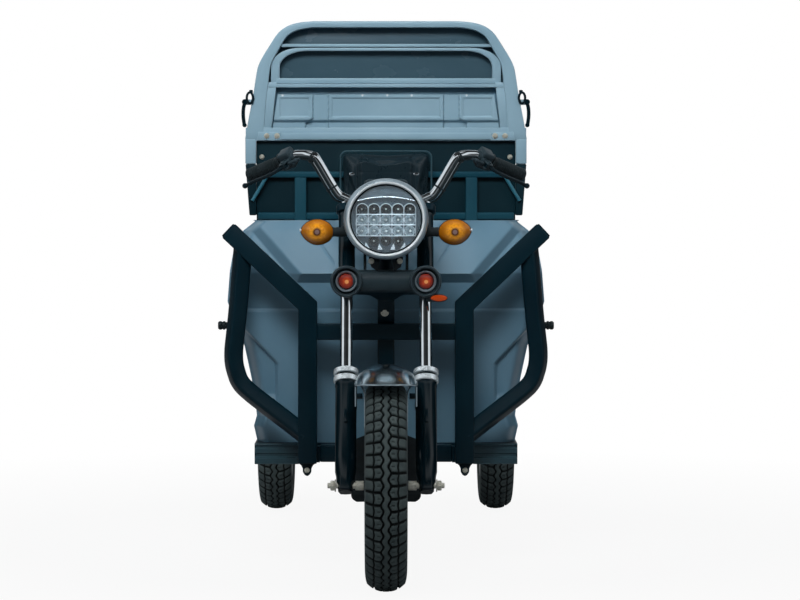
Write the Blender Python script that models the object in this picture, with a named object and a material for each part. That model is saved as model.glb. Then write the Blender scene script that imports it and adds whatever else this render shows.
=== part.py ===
# Electric cargo tricycle: one steered front wheel on a telescopic fork, two driven rear
# wheels under a cargo bed, and a hooped guard frame behind the driver's seat.
# Metres, +Z up. The tricycle faces -Y, and its origin is on the ground below the middle of its box.
# Shapes are first made with Y counted back from the front axle, then all is moved to the origin.
import math

import bpy
import bmesh
from mathutils import Matrix, Vector

# Clearance kept between pieces that touch, and the walls of pressed steel
GAP = 0.0003
SHEET = 0.003

# Wheels
WHEELBASE = 1.85
WHEEL_RADIUS = 0.25
TYRE_WIDTH = 0.10
RIM_RADIUS = 0.152
RIM_WIDTH = 0.088
FLANGE_RADIUS = 0.166
REAR_TRACK = 0.652
WHEEL_SIDES = 24

# Fork and steering, whose heights are measured along the steering axis from the axle's level
RAKE = math.radians(26)
FORK_OFFSET = 0.040
FORK_SPACING = 0.192
STANCHION_RADIUS = 0.015
LEG_RADIUS = 0.0255
LEG_TOP = 0.257
LEG_FLOOR = 0.032
SEAL_RADIUS = 0.030
SEAL_HEIGHT = 0.036
FORK_TRAVEL = 0.050
EAR_RADIUS = 0.0205
LOWER_CLAMP = 0.498
LOWER_CLAMP_HEIGHT = 0.035
UPPER_CLAMP = 0.712
UPPER_CLAMP_HEIGHT = 0.020
STEM_RADIUS = 0.012
HEAD_TUBE_RADIUS = 0.027
HEAD_TUBE_WALL = 0.0065
CLAMP_RADIUS = 0.026
BEARING_HEIGHT = 0.012
AXLE_RADIUS = 0.0075
FRONT_HUB_HALF = 0.052
FENDER_HALF = 0.065
FENDER_RISE = 0.043
FENDER_WALL = 0.002
FENDER_START = math.radians(-32)
FENDER_END = math.radians(62)
FENDER_STEPS = 12
FLAP_HALF = 0.0775
FLAP_END = math.radians(104)
ROUND_SIDES = 16

# Handlebar and controls
BAR_RADIUS = 0.0115
BAR_HEIGHT = 0.765
BAR_FORWARD = 0.0126
RISER_ACROSS = 0.0375
RISER_TOP = BAR_HEIGHT + 0.019
GRIP_RADIUS = 0.0165
GRIP_LENGTH = 0.110
POD_START = 0.012
POD_LENGTH = 0.036
POD_DEPTH = 0.036
POD_HEIGHT = 0.046
GRIP_START = POD_START + POD_LENGTH + GAP
LEVER_THICKNESS = 0.010
LEVER_PIVOT = (0.028, 0.034)
PIN_RADIUS = 0.003
BUTTON_RADIUS = 0.0058
BUTTON_PLACE = (0.028, 0.0125)
INSTRUMENT_HEIGHT = 0.026
KEY_RADIUS = 0.0055
KEY_PLACE = (0.036, 0.018)

# Lamps
HEADLIGHT_RADIUS = 0.101
HEADLIGHT_HEIGHT = 0.879
HEADLIGHT_PIVOT = 0.200
SHELL_RADIUS = 0.088
LENS_RADIUS = 0.0855
EAR_INSIDE = 0.0905
EAR_PLATE = 0.0035
TRUNNION_RADIUS = 0.005
SIGNAL_ACROSS = 0.167
SIGNAL_HEIGHT = 0.847
COVER_RING_RADIUS = 0.0375
COVER_HEIGHT = 0.728
COVER_FRONT = 0.165
COVER_BAR = 0.053

# Front frame, crash bars and body
TUBE = 0.045
POST_ACROSS = 0.195
POST_BACK = 0.3825
POST_FOOT = 0.270
POST_TOP = 0.667
NECK_WIDTH = 0.042
NECK_BACK = 0.425
RAIL_WIDTH = 0.050
RAIL_HEIGHT = 0.040
RAIL_ACROSS = 0.190
RAIL_LOW = 0.270
RAIL_HIGH = 0.545
SHIELD_HALF = 0.3985
SHIELD_TOP = 0.868
SHIELD_WALL = 0.0025
FLOOR_HALF = 0.330
FLOOR_END = 1.100
SKIRT = 0.052
PEDAL_ACROSS = -0.120
PEDAL_BACK = 0.620
PEDAL_HEIGHT = 0.345
PEDAL_WIDTH = 0.016

# Seat
SEAT_BOX_HALF = 0.160
SEAT_BOX_FRONT = 0.860
SEAT_HEIGHT = 0.660
SEAT_PIVOT = (0.852, 0.663)
SEAT_HINGE_HALF = 0.060
CUSHION_HEIGHT = 0.075
BATTERY_HEIGHT = 0.240
BACKREST_HALF = 0.127
BACKREST_FOOT = 0.825
BACKREST_TOP = 1.058

# Cargo bed and guard frame
BED_FRONT = 1.150
BED_END = WHEELBASE + 0.530
BED_HALF = 0.355
BED_WALL_TOP = 0.950
FRONT_WALL_TOP = 1.0837
WALL_RAIL_DEPTH = 0.020
RIB_ACROSS = 0.235
RIB_DEPTH = 0.025
PANEL_HALF = BED_HALF - 0.0553
PANEL_FOOT = 1.120
PANEL_HEAD = 1.230
LATCH_PIVOT = (BED_HALF + 0.031, 1.190)
LATCH_WIDTH = 0.012
HOOP_FRONT = 1.135
HOOP_BACK = 1.170
CROSSBAR = (1.3375, 1.3455)
HINGE_RADIUS = 0.008
GATE_PIVOT = (BED_END + 0.012, 0.5940)
GATE_HINGE_HALF = BED_HALF - 0.025

# Rear axle and springs
SPRING_HALF_LENGTH = 0.300
SPRING_WIDTH = 0.040
SPRING_EYE_HEIGHT = 0.445
SPRING_SAG = 0.127
SPRING_SEAT = 0.050
LEAF = 0.008
AXLE_TUBE_RADIUS = 0.022
EYE_PIN_RADIUS = 0.006
REAR_HUB_HALF = 0.045
STUB_RADIUS = 0.012
MOTOR_RADIUS = 0.060
MOTOR_END = 0.0517
MOTOR_BACK = WHEELBASE - 0.135
DIFFERENTIAL_RADIUS = 0.070

# Places that follow from the sizes above
RAIL_TOP = RAIL_LOW + RAIL_HEIGHT
BED_FLOOR = RAIL_HIGH + RAIL_HEIGHT + GAP
FLOOR_TOP = RAIL_TOP + GAP + SHEET
TAIL_END = GATE_PIVOT[0] + HINGE_RADIUS
MIDDLE = (TAIL_END - WHEEL_RADIUS) / 2
YOKE_TOP = LOWER_CLAMP + LOWER_CLAMP_HEIGHT
FORK_HALF = FORK_SPACING / 2
STEERING_FOOT = Vector(
    (0, FORK_OFFSET * math.cos(RAKE), WHEEL_RADIUS - FORK_OFFSET * math.sin(RAKE))
)
STEERING = Matrix.Translation(STEERING_FOOT) @ Matrix.Rotation(-RAKE, 4, "X")
FRONT_HUB = Vector((0, 0, WHEEL_RADIUS))

# Colours: base colour, roughness, metallic
FINISHES = {
    "paint": ((0.21, 0.33, 0.42, 1), 0.35, 0.0),
    "dark_paint": ((0.015, 0.045, 0.06, 1), 0.4, 0.0),
    "black": ((0.008, 0.014, 0.02, 1), 0.3, 0.0),
    "chrome": ((0.75, 0.78, 0.8, 1), 0.08, 1.0),
    "steel": ((0.45, 0.46, 0.45, 1), 0.35, 1.0),
    "rubber": ((0.02, 0.02, 0.02, 1), 0.8, 0.0),
    "plastic": ((0.02, 0.024, 0.028, 1), 0.5, 0.0),
    "amber": ((0.85, 0.3, 0.02, 1), 0.15, 0.0),
    "red": ((0.55, 0.02, 0.02, 1), 0.2, 0.0),
    "lens": ((0.7, 0.8, 0.85, 1), 0.05, 0.0),
    "leather": ((0.01, 0.011, 0.012, 1), 0.45, 0.0),
}


def clear_scene():
    for old in list(bpy.data.objects):
        bpy.data.objects.remove(old)


# Solids, each a new object whose mesh is in place
def solid(build):
    mesh = bpy.data.meshes.new("solid")
    bmesh.ops.recalc_face_normals(build, faces=build.faces)
    build.to_mesh(mesh)
    build.free()
    made = bpy.data.objects.new("solid", mesh)
    bpy.context.scene.collection.objects.link(made)
    return made


def from_rings(rings, closed_round, capped):
    """A solid from rings of points. Each ring closes on itself; the rings too, where closed_round is set."""
    build = bmesh.new()
    rows = []
    for ring in rings:
        rows.append([build.verts.new(point) for point in ring])
    count = len(rows[0])
    last = len(rows) if closed_round else len(rows) - 1
    for i in range(last):
        here = rows[i]
        there = rows[(i + 1) % len(rows)]
        for j in range(count):
            k = (j + 1) % count
            build.faces.new((here[j], here[k], there[k], there[j]))
    if capped:
        build.faces.new(rows[0])
        build.faces.new(rows[-1])
    return solid(build)


def prism(outline, axis, low, high):
    """The outline, given in the two other axes in X, Y, Z order, drawn out along axis."""

    def at(a, b, along):
        return {"X": (along, a, b), "Y": (a, along, b), "Z": (a, b, along)}[axis]

    rings = [[at(a, b, along) for a, b in outline] for along in (low, high)]
    return from_rings(rings, closed_round=False, capped=True)


def block(x, y, z):
    """A box from three (low, high) pairs."""
    corners = [(x[0], y[0]), (x[1], y[0]), (x[1], y[1]), (x[0], y[1])]
    return prism(corners, "Z", z[0], z[1])


def turned(profile, axis, centre, sides=ROUND_SIDES, flats=False):
    """The (along, radius) profile turned about axis through centre. Ends of no radius close at a point.

    With flats set, the radii are those of the flat sides, and a flat faces straight down.
    """
    grow = 1 / math.cos(math.pi / sides) if flats else 1.0
    shift = 0.5 if flats else 0.0
    centre = Vector(centre)
    order = {"X": (2, 0, 1), "Y": (0, 2, 1), "Z": (0, 1, 2)}[axis]

    def at(along, radius, turn):
        flat = (radius * math.cos(turn), radius * math.sin(turn), along)
        return centre + Vector([flat[i] for i in order])

    build = bmesh.new()
    rings = []
    for along, radius in profile:
        if radius == 0:
            rings.append([build.verts.new(at(along, 0, 0))])
            continue
        turns = [2 * math.pi * (i + shift) / sides for i in range(sides)]
        rings.append([build.verts.new(at(along, radius * grow, turn)) for turn in turns])
    pairs = list(zip(rings, rings[1:]))
    if len(rings[0]) > 1:
        pairs.append((rings[-1], rings[0]))
    for here, there in pairs:
        for j in range(sides):
            k = (j + 1) % sides
            corners = [here[j % len(here)], here[k % len(here)]]
            corners += [there[k % len(there)], there[j % len(there)]]
            kept = [v for i, v in enumerate(corners) if v not in corners[:i]]
            if len(kept) > 2:
                build.faces.new(kept)
    return solid(build)


def rod(radius, axis, centre, low, high, sides=ROUND_SIDES):
    """A plain cylinder along axis, from low to high counted from centre."""
    return turned([(low, 0), (low, radius), (high, radius), (high, 0)], axis, centre, sides)


def bored(radius, sides=ROUND_SIDES):
    """The radius of a hole whose flats clear a round piece that turns in it."""
    return (radius + GAP) / math.cos(math.pi / sides)


def swept(path, section, side):
    """The section, given as (across, up) points, drawn along the path with mitred corners."""
    path = [Vector(point) for point in path]
    first = (path[1] - path[0]).normalized()
    side = (Vector(side) - first * first.dot(Vector(side))).normalized()
    up = side.cross(first)
    ring = [path[0] + side * a + up * b for a, b in section]
    rings = [ring]
    for i in range(1, len(path)):
        before = (path[i] - path[i - 1]).normalized()
        after = before if i == len(path) - 1 else (path[i + 1] - path[i]).normalized()
        normal = (before + after).normalized()
        ring = [p + before * ((path[i] - p).dot(normal) / before.dot(normal)) for p in ring]
        rings.append(ring)
    return from_rings(rings, closed_round=False, capped=True)


def circle(radius, sides):
    return [
        (radius * math.cos(2 * math.pi * i / sides), radius * math.sin(2 * math.pi * i / sides))
        for i in range(sides)
    ]


def rectangle(width, height):
    return [
        (-width / 2, -height / 2),
        (width / 2, -height / 2),
        (width / 2, height / 2),
        (-width / 2, height / 2),
    ]


def smooth_path(points, steps):
    """Points on a smooth curve through the given ones."""
    points = [Vector(p) for p in points]
    held = [2 * points[0] - points[1]] + points + [2 * points[-1] - points[-2]]
    path = []
    for i in range(1, len(held) - 2):
        a, b, c, d = held[i - 1 : i + 3]
        for j in range(steps):
            t = j / steps
            path.append(
                0.5
                * (
                    2 * b
                    + (c - a) * t
                    + (2 * a - 5 * b + 4 * c - d) * t * t
                    + (3 * b - a - 3 * c + d) * t * t * t
                )
            )
    path.append(points[-1])
    return path


def moved(piece, matrix):
    piece.data.transform(matrix)
    return piece


def combined(base, others, operation):
    """Base with the other solids joined to it or cut away."""
    for other in others:
        change = base.modifiers.new(operation, "BOOLEAN")
        change.operation = operation
        change.solver = "EXACT"
        change.object = other
    bpy.context.view_layer.update()
    graph = bpy.context.evaluated_depsgraph_get()
    base.data = bpy.data.meshes.new_from_object(base.evaluated_get(graph))
    base.modifiers.clear()
    for other in others:
        bpy.data.objects.remove(other)
    return base


def joined(base, *others):
    return combined(base, others, "UNION")


def cut(base, *others):
    return combined(base, others, "DIFFERENCE")


# Naming, finish and parents
def finish_of(name):
    if name in bpy.data.materials:
        return bpy.data.materials[name]
    colour, roughness, metallic = FINISHES[name]
    made = bpy.data.materials.new(name)
    made.use_nodes = True
    shader = made.node_tree.nodes["Principled BSDF"]
    shader.inputs["Base Color"].default_value = colour
    shader.inputs["Roughness"].default_value = roughness
    shader.inputs["Metallic"].default_value = metallic
    return made


def named(piece, name, finish, carried):
    """Names the piece, gives it a material of its own, and hangs it on its carrier's empty."""
    piece.name = name
    piece.data.name = name
    material = finish_of(finish).copy()
    material.name = name + "_finish"
    piece.data.materials.clear()
    piece.data.materials.append(material)
    for face in piece.data.polygons:
        face.material_index = 0
    piece.data.shade_smooth()
    piece.data.set_sharp_from_angle(angle=math.radians(32))
    piece.parent = carried
    piece.matrix_parent_inverse = carried.matrix_world.inverted()
    return piece


def carrier(name, place, parent=None):
    """An empty on a joint's axis, or at the frame's foot."""
    made = bpy.data.objects.new(name, None)
    bpy.context.scene.collection.objects.link(made)
    made.matrix_world = place
    if parent is not None:
        made.parent = parent
        made.matrix_parent_inverse = parent.matrix_world.inverted()
    bpy.context.view_layer.update()
    return made


def side_name(side):
    """The rider faces -Y, so the rider's left is towards +X."""
    return "left" if side > 0 else "right"


# Wheels
def rim_profile(hub_half, bore):
    half = RIM_WIDTH / 2
    right = [
        (hub_half, bore),
        (hub_half, 0.034),
        (0.006, 0.042),
        (0.006, RIM_RADIUS - 0.010),
        (half - 0.004, RIM_RADIUS - 0.006),
        (half, FLANGE_RADIUS),
        (half - 0.003, FLANGE_RADIUS),
        (half - 0.007, RIM_RADIUS),
    ]
    left = [(-x, r) for x, r in reversed(right)]
    return right + left


def tyre_profile():
    half = TYRE_WIDTH / 2
    inside = RIM_WIDTH / 2 - 0.0078
    outer = [
        (inside, RIM_RADIUS + GAP),
        (inside + 0.003, FLANGE_RADIUS + 0.001),
        (half, WHEEL_RADIUS - 0.052),
        (half - 0.006, WHEEL_RADIUS - 0.018),
        (half - 0.028, WHEEL_RADIUS - 0.002),
    ]
    inner = [
        (half - 0.014, WHEEL_RADIUS - 0.024),
        (half - 0.022, RIM_RADIUS + GAP),
    ]
    left_outer = [(-x, r) for x, r in reversed(outer)]
    left_inner = [(-x, r) for x, r in reversed(inner)]
    return outer + [(0, WHEEL_RADIUS)] + left_outer + left_inner + inner


def wheel(prefix, suffix, centre, hub_half, axle_radius, carried):
    """A rim and the tyre on it, turned in place about the axle."""
    profile = rim_profile(hub_half, axle_radius + GAP)
    rim = turned(profile, "X", centre, WHEEL_SIDES, flats=True)
    tyre = turned(tyre_profile(), "X", centre, WHEEL_SIDES, flats=True)
    named(rim, f"{prefix}_rim{suffix}", "black", carried)
    named(tyre, f"{prefix}_tyre{suffix}", "rubber", carried)


# Front fork. Pieces are made upright round the steering axis, then leaned back.
def leaned(piece):
    return moved(piece, STEERING)


def fork_line(side):
    """The centre line of one fork tube."""
    return (side * FORK_HALF, -FORK_OFFSET, 0)


def fork_leg(side, carried):
    """The sliding leg: a tube closed below, with its seal cap and the axle's hole."""
    bore = STANCHION_RADIUS + GAP
    seal = LEG_TOP + SEAL_HEIGHT
    profile = [
        (-0.035, 0),
        (-0.035, 0.016),
        (-0.020, LEG_RADIUS),
        (LEG_TOP, LEG_RADIUS),
        (LEG_TOP, SEAL_RADIUS),
        (LEG_TOP + 0.014, SEAL_RADIUS),
        (LEG_TOP + 0.014, SEAL_RADIUS - 0.004),
        (seal - 0.018, SEAL_RADIUS - 0.004),
        (seal - 0.018, SEAL_RADIUS),
        (seal - 0.003, SEAL_RADIUS),
        (seal, SEAL_RADIUS - 0.003),
        (seal, bore),
        (LEG_FLOOR, bore),
        (LEG_FLOOR, 0),
    ]
    leg = turned(profile, "Z", fork_line(side))
    hole = rod(bored(AXLE_RADIUS), "X", fork_line(side), -0.05, 0.05)
    named(leaned(cut(leg, hole)), f"fork_leg_{side_name(side)}", "black", carried)


def stanchion(side, carried):
    """The chromed inner tube, from inside the leg to its cap above the upper clamp."""
    foot = LEG_FLOOR + FORK_TRAVEL + 0.005
    top = UPPER_CLAMP + UPPER_CLAMP_HEIGHT + GAP
    profile = [
        (foot, 0),
        (foot, STANCHION_RADIUS),
        (top, STANCHION_RADIUS),
        (top, STANCHION_RADIUS + 0.002),
        (top + 0.008, STANCHION_RADIUS + 0.002),
        (top + 0.010, STANCHION_RADIUS),
        (top + 0.010, 0),
    ]
    tube = turned(profile, "Z", fork_line(side))
    named(leaned(tube), f"stanchion_{side_name(side)}", "chrome", carried)


def clamp_outline(room=0.0):
    """The yokes' outline seen along the steering axis, grown by room in front and at the ends."""
    reach = FORK_HALF + CLAMP_RADIUS + room
    front = -FORK_OFFSET - CLAMP_RADIUS - room
    return [
        (-reach, front),
        (reach, front),
        (reach, -0.020 + room),
        (0.030, 0.024 + room),
        (-0.030, 0.024 + room),
        (-reach, -0.020 + room),
    ]


def stanchion_holes(low, high):
    radius = STANCHION_RADIUS + GAP
    return [rod(radius, "Z", fork_line(side), low, high) for side in (-1, 1)]


def lower_clamp(carried):
    """The lower yoke with the steering stem and its nut."""
    plate = prism(clamp_outline(), "Z", LOWER_CLAMP, YOKE_TOP)
    plate = cut(plate, *stanchion_holes(LOWER_CLAMP - 0.01, YOKE_TOP + 0.01))
    nut = UPPER_CLAMP + UPPER_CLAMP_HEIGHT + GAP
    profile = [
        (LOWER_CLAMP + 0.010, 0),
        (LOWER_CLAMP + 0.010, STEM_RADIUS),
        (nut, STEM_RADIUS),
        (nut, STEM_RADIUS + 0.005),
        (nut + 0.010, STEM_RADIUS + 0.005),
        (nut + 0.010, 0),
    ]
    stem = turned(profile, "Z", (0, 0, 0))
    named(leaned(joined(plate, stem)), "lower_clamp", "black", carried)


def upper_clamp(carried):
    """The upper yoke, with the two risers that grip the handlebar."""
    top = UPPER_CLAMP + UPPER_CLAMP_HEIGHT
    plate = prism(clamp_outline(), "Z", UPPER_CLAMP, top)
    risers = []
    for side in (-1, 1):
        across = (side * RISER_ACROSS - 0.010, side * RISER_ACROSS + 0.010)
        depth = (-BAR_FORWARD - 0.018, -BAR_FORWARD + 0.018)
        risers.append(block(across, depth, (top - 0.002, RISER_TOP)))
    plate = joined(plate, *risers)
    holes = stanchion_holes(UPPER_CLAMP - 0.01, top + 0.01)
    holes.append(rod(STEM_RADIUS + GAP, "Z", (0, 0, 0), UPPER_CLAMP - 0.01, top + 0.01))
    holes.append(rod(bored(BAR_RADIUS, 12), "X", (0, -BAR_FORWARD, BAR_HEIGHT), -0.06, 0.06, 12))
    named(leaned(cut(plate, *holes)), "upper_clamp", "black", carried)


def fork_ear(side, carried):
    """The cover tube between the clamps, with the plate that holds the headlight and the signal."""
    inside = STANCHION_RADIUS + 0.003
    profile = [
        (YOKE_TOP + GAP, EAR_RADIUS),
        (UPPER_CLAMP - GAP, EAR_RADIUS),
        (UPPER_CLAMP - GAP, inside),
        (YOKE_TOP + GAP, inside),
    ]
    tube = leaned(turned(profile, "Z", fork_line(side)))
    across = sorted((side * EAR_INSIDE, side * (EAR_INSIDE + EAR_PLATE)))
    pivot = HEADLIGHT_PIVOT
    outline = [
        (pivot - 0.018, HEADLIGHT_HEIGHT - 0.047),
        (pivot + 0.015, HEADLIGHT_HEIGHT - 0.051),
        (pivot + 0.086, HEADLIGHT_HEIGHT - 0.029),
        (pivot + 0.096, HEADLIGHT_HEIGHT - 0.003),
        (pivot + 0.082, HEADLIGHT_HEIGHT + 0.017),
        (pivot, HEADLIGHT_HEIGHT + 0.017),
        (pivot - 0.018, HEADLIGHT_HEIGHT + 0.005),
    ]
    plate = prism(outline, "X", *across)
    wall = (inside + EAR_RADIUS) / 2
    core = leaned(rod(wall, "Z", fork_line(side), YOKE_TOP, UPPER_CLAMP))
    centre = (0, HEADLIGHT_PIVOT, HEADLIGHT_HEIGHT)
    hole = rod(bored(TRUNNION_RADIUS), "X", centre, across[0] - 0.01, across[1] + 0.01)
    ear = joined(tube, cut(plate, core, hole))
    named(ear, f"fork_ear_{side_name(side)}", "black", carried)


def fork_cover(carried):
    """The shroud over the lower clamp, with a round housing in front of each fork tube."""
    bar = block(
        (-FORK_HALF, FORK_HALF),
        (COVER_FRONT + 0.010, COVER_FRONT + 0.048),
        (COVER_HEIGHT - COVER_BAR / 2, COVER_HEIGHT + COVER_BAR / 2),
    )
    rings = []
    recesses = []
    for side in (-1, 1):
        centre = (side * FORK_HALF, COVER_FRONT, COVER_HEIGHT)
        rings.append(rod(COVER_RING_RADIUS, "Y", centre, 0, 0.060, 28))
        recesses.append(rod(COVER_RING_RADIUS - 0.006, "Y", centre, -0.01, 0.010, 28))
    shroud = cut(joined(bar, *rings), *recesses)
    room = leaned(prism(clamp_outline(GAP), "Z", LOWER_CLAMP - 0.08, YOKE_TOP + 0.08))
    named(cut(shroud, room), "fork_cover", "plastic", carried)


def round_wheel(radius, turn, across):
    """A place round the front hub: the turn is counted from straight up, backwards."""
    return (across, radius * math.sin(turn), WHEEL_RADIUS + radius * math.cos(turn))


def fender(carried):
    """The chromed front mudguard, arched over the tyre, with its brackets to the fork legs."""
    edge = WHEEL_RADIUS - 0.005
    bends = [math.radians(a) for a in (-90, -60, -30, 0, 30, 60, 90)]
    outside = [(FENDER_HALF * math.sin(a), edge + FENDER_RISE * math.cos(a)) for a in bends]
    half = FENDER_HALF - FENDER_WALL
    rise = FENDER_RISE - FENDER_WALL
    inside = [(half * math.sin(a), edge + rise * math.cos(a)) for a in reversed(bends)]
    rings = []
    for i in range(FENDER_STEPS + 1):
        turn = FENDER_START + (FENDER_END - FENDER_START) * i / FENDER_STEPS
        rings.append([round_wheel(r, turn, x) for x, r in outside + inside])
    arch = from_rings(rings, closed_round=False, capped=True)
    brackets = []
    for side in (-1, 1):
        leg_face = FORK_HALF - LEG_RADIUS - GAP
        across = sorted((side * (FENDER_HALF - 0.0022), side * leg_face))
        depth = (-FORK_OFFSET - 0.010, -FORK_OFFSET + 0.010)
        brackets.append(leaned(block(across, depth, (0.226, 0.256))))
    named(joined(arch, *brackets), "front_fender", "chrome", carried)


def mud_flap(carried):
    """The rubber flap that carries on behind the mudguard."""
    start = FENDER_END + GAP / WHEEL_RADIUS
    steps = 6
    inner = WHEEL_RADIUS + 0.020
    rings = []
    for i in range(steps + 1):
        turn = start + (FLAP_END - start) * i / steps
        spread = FLAP_HALF * (0.80 + 0.10 * min(2, i))
        corners = [(-spread, inner), (spread, inner)]
        corners += [(spread, inner + SHEET), (-spread, inner + SHEET)]
        rings.append([round_wheel(r, turn, x) for x, r in corners])
    named(from_rings(rings, closed_round=False, capped=True), "mud_flap", "rubber", carried)


def front_axle(carried):
    """The axle with its spacers and the nuts outside the legs."""
    leg_in = FORK_HALF - LEG_RADIUS - GAP
    leg_out = FORK_HALF + LEG_RADIUS + GAP
    right = [
        (FRONT_HUB_HALF + GAP, AXLE_RADIUS),
        (FRONT_HUB_HALF + GAP, 0.012),
        (leg_in, 0.012),
        (leg_in, AXLE_RADIUS),
        (leg_out, AXLE_RADIUS),
        (leg_out, 0.013),
        (leg_out + 0.009, 0.013),
        (leg_out + 0.009, AXLE_RADIUS - 0.001),
        (leg_out + 0.015, AXLE_RADIUS - 0.001),
        (leg_out + 0.015, 0),
    ]
    left = [(-x, r) for x, r in reversed(right)]
    named(turned(left + right, "X", FRONT_HUB), "front_axle", "steel", carried)


# Handlebar and controls
def bar_points(side):
    """The handlebar's bends on one side, outward from the clamp."""
    middle = STEERING @ Vector((0, -BAR_FORWARD, BAR_HEIGHT))
    rows = [
        (0.052, 0.000, 0.000),
        (0.078, 0.000, 0.001),
        (0.104, -0.002, 0.012),
        (0.126, -0.004, 0.034),
        (0.170, -0.006, 0.103),
        (0.183, -0.002, 0.1145),
        (0.200, 0.006, 0.117),
        (0.220, 0.020, 0.111),
    ]
    return [Vector((side * x, middle.y + back, middle.z + up)) for x, back, up in rows]


def grip_frame(side):
    """The grip's own frame: X outward along the bar, Y towards the lever, Z square to both."""
    root = bar_points(side)[-1]
    outward = Vector((side * 0.122, 0.086, -0.050)).normalized()
    forward = Vector((0, -1, -0.45))
    forward = (forward - outward * forward.dot(outward)).normalized()
    axes = Matrix((outward, forward, outward.cross(forward))).transposed().to_4x4()
    return Matrix.Translation(root) @ axes


def handlebar(carried):
    halves = {}
    for side in (-1, 1):
        ends = (0.010, GRIP_START + GRIP_LENGTH - 0.005)
        straight = [grip_frame(side) @ Vector((along, 0, 0)) for along in ends]
        halves[side] = smooth_path(bar_points(side), 2) + straight
    path = list(reversed(halves[-1])) + halves[1]
    named(swept(path, circle(BAR_RADIUS, 12), (0, 0, 1)), "handlebar", "chrome", carried)


def grip(side, name, carried):
    """A rubber sleeve closed at its outer end."""
    end = GRIP_START + GRIP_LENGTH
    bore = bored(BAR_RADIUS, 12)
    profile = [
        (end, 0),
        (end, GRIP_RADIUS - 0.004),
        (end - 0.004, GRIP_RADIUS),
        (GRIP_START + 0.008, GRIP_RADIUS),
        (GRIP_START + 0.006, GRIP_RADIUS + 0.004),
        (GRIP_START, GRIP_RADIUS + 0.004),
        (GRIP_START, bore),
        (end - 0.0047, bore),
        (end - 0.0047, 0),
    ]
    sleeve = turned(profile, "X", (0, 0, 0), 12)
    named(moved(sleeve, grip_frame(side)), name, "rubber", carried)


def switch_pod(side, carried):
    """The switch housing on the bar, with the forked perch and pin of the brake lever."""
    body = block(
        (POD_START, POD_START + POD_LENGTH),
        (-POD_DEPTH / 2, POD_DEPTH / 2),
        (-POD_HEIGHT / 2, POD_HEIGHT / 2),
    )
    jaws = []
    for up in (-1, 1):
        inner = LEVER_THICKNESS / 2 + GAP
        heights = sorted((up * inner, up * (inner + SHEET)))
        depth = (POD_DEPTH / 2 - 0.002, LEVER_PIVOT[1] + 0.007)
        jaws.append(block((LEVER_PIVOT[0] - 0.008, LEVER_PIVOT[0] + 0.008), depth, heights))
    pin_half = LEVER_THICKNESS / 2 + GAP + SHEET / 2
    centre = (LEVER_PIVOT[0], LEVER_PIVOT[1], 0)
    jaws.append(rod(PIN_RADIUS, "Z", centre, -pin_half, pin_half, 12))
    body = joined(body, *jaws)
    holes = [rod(bored(BAR_RADIUS, 12), "X", (0, 0, 0), 0, 0.1, 12)]
    if side > 0:
        hole_place = (BUTTON_PLACE[0], 0, BUTTON_PLACE[1])
        face = -POD_DEPTH / 2
        holes.append(rod(BUTTON_RADIUS + GAP, "Y", hole_place, face - 0.01, face + 0.0055, 16))
    body = cut(body, *holes)
    named(moved(body, grip_frame(side)), f"switch_pod_{side_name(side)}", "plastic", carried)


def brake_lever(side, carried):
    """A flat blade from its pivot to a ball end, in front of the grip."""
    x, y = LEVER_PIVOT
    path = [(x, y, 0), (x + 0.022, y + 0.012, 0), (x + 0.052, y + 0.017, 0), (x + 0.120, y + 0.018, 0)]
    blade = swept(path, rectangle(0.007, LEVER_THICKNESS - 0.001), (0, 1, 0))
    hub = rod(0.0075, "Z", (x, y, 0), -LEVER_THICKNESS / 2, LEVER_THICKNESS / 2, 16)
    ball_place = (x + 0.120, y + 0.018, 0)
    ball_profile = [(-0.007, 0), (-0.005, 0.005), (0, 0.007), (0.005, 0.005), (0.007, 0)]
    ball = turned(ball_profile, "X", ball_place, 10)
    hole = rod(bored(PIN_RADIUS, 12), "Z", (x, y, 0), -0.02, 0.02, 12)
    lever = cut(joined(blade, hub, ball), hole)
    named(moved(lever, grip_frame(side)), f"brake_lever_{side_name(side)}", "black", carried)


def horn_button(carried):
    face = -POD_DEPTH / 2
    place = (BUTTON_PLACE[0], 0, BUTTON_PLACE[1])
    button = rod(BUTTON_RADIUS, "Y", place, face - 0.004, face + 0.0025, 16)
    named(moved(button, grip_frame(1)), "horn_button", "amber", carried)


def instrument(carried):
    """The gauge housing on the risers, with the ignition lock's socket."""
    base = RISER_TOP + GAP
    case = block((-0.055, 0.055), (-0.045, 0.040), (base, base + INSTRUMENT_HEIGHT))
    socket_top = base + INSTRUMENT_HEIGHT
    place = (KEY_PLACE[0], KEY_PLACE[1], 0)
    socket = rod(bored(KEY_RADIUS, 16), "Z", place, socket_top - 0.006, socket_top + 0.01, 16)
    named(leaned(cut(case, socket)), "instrument", "plastic", carried)


def ignition_key(carried):
    """The lock's barrel with the key's bow standing on it."""
    top = RISER_TOP + GAP + INSTRUMENT_HEIGHT
    place = (KEY_PLACE[0], KEY_PLACE[1], 0)
    barrel = rod(KEY_RADIUS, "Z", place, top - 0.0055, top + 0.003, 16)
    x, y = KEY_PLACE
    bow = block((x - 0.009, x + 0.009), (y - 0.0015, y + 0.0015), (top + 0.002, top + 0.022))
    named(leaned(joined(barrel, bow)), "ignition_key", "steel", carried)


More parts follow.
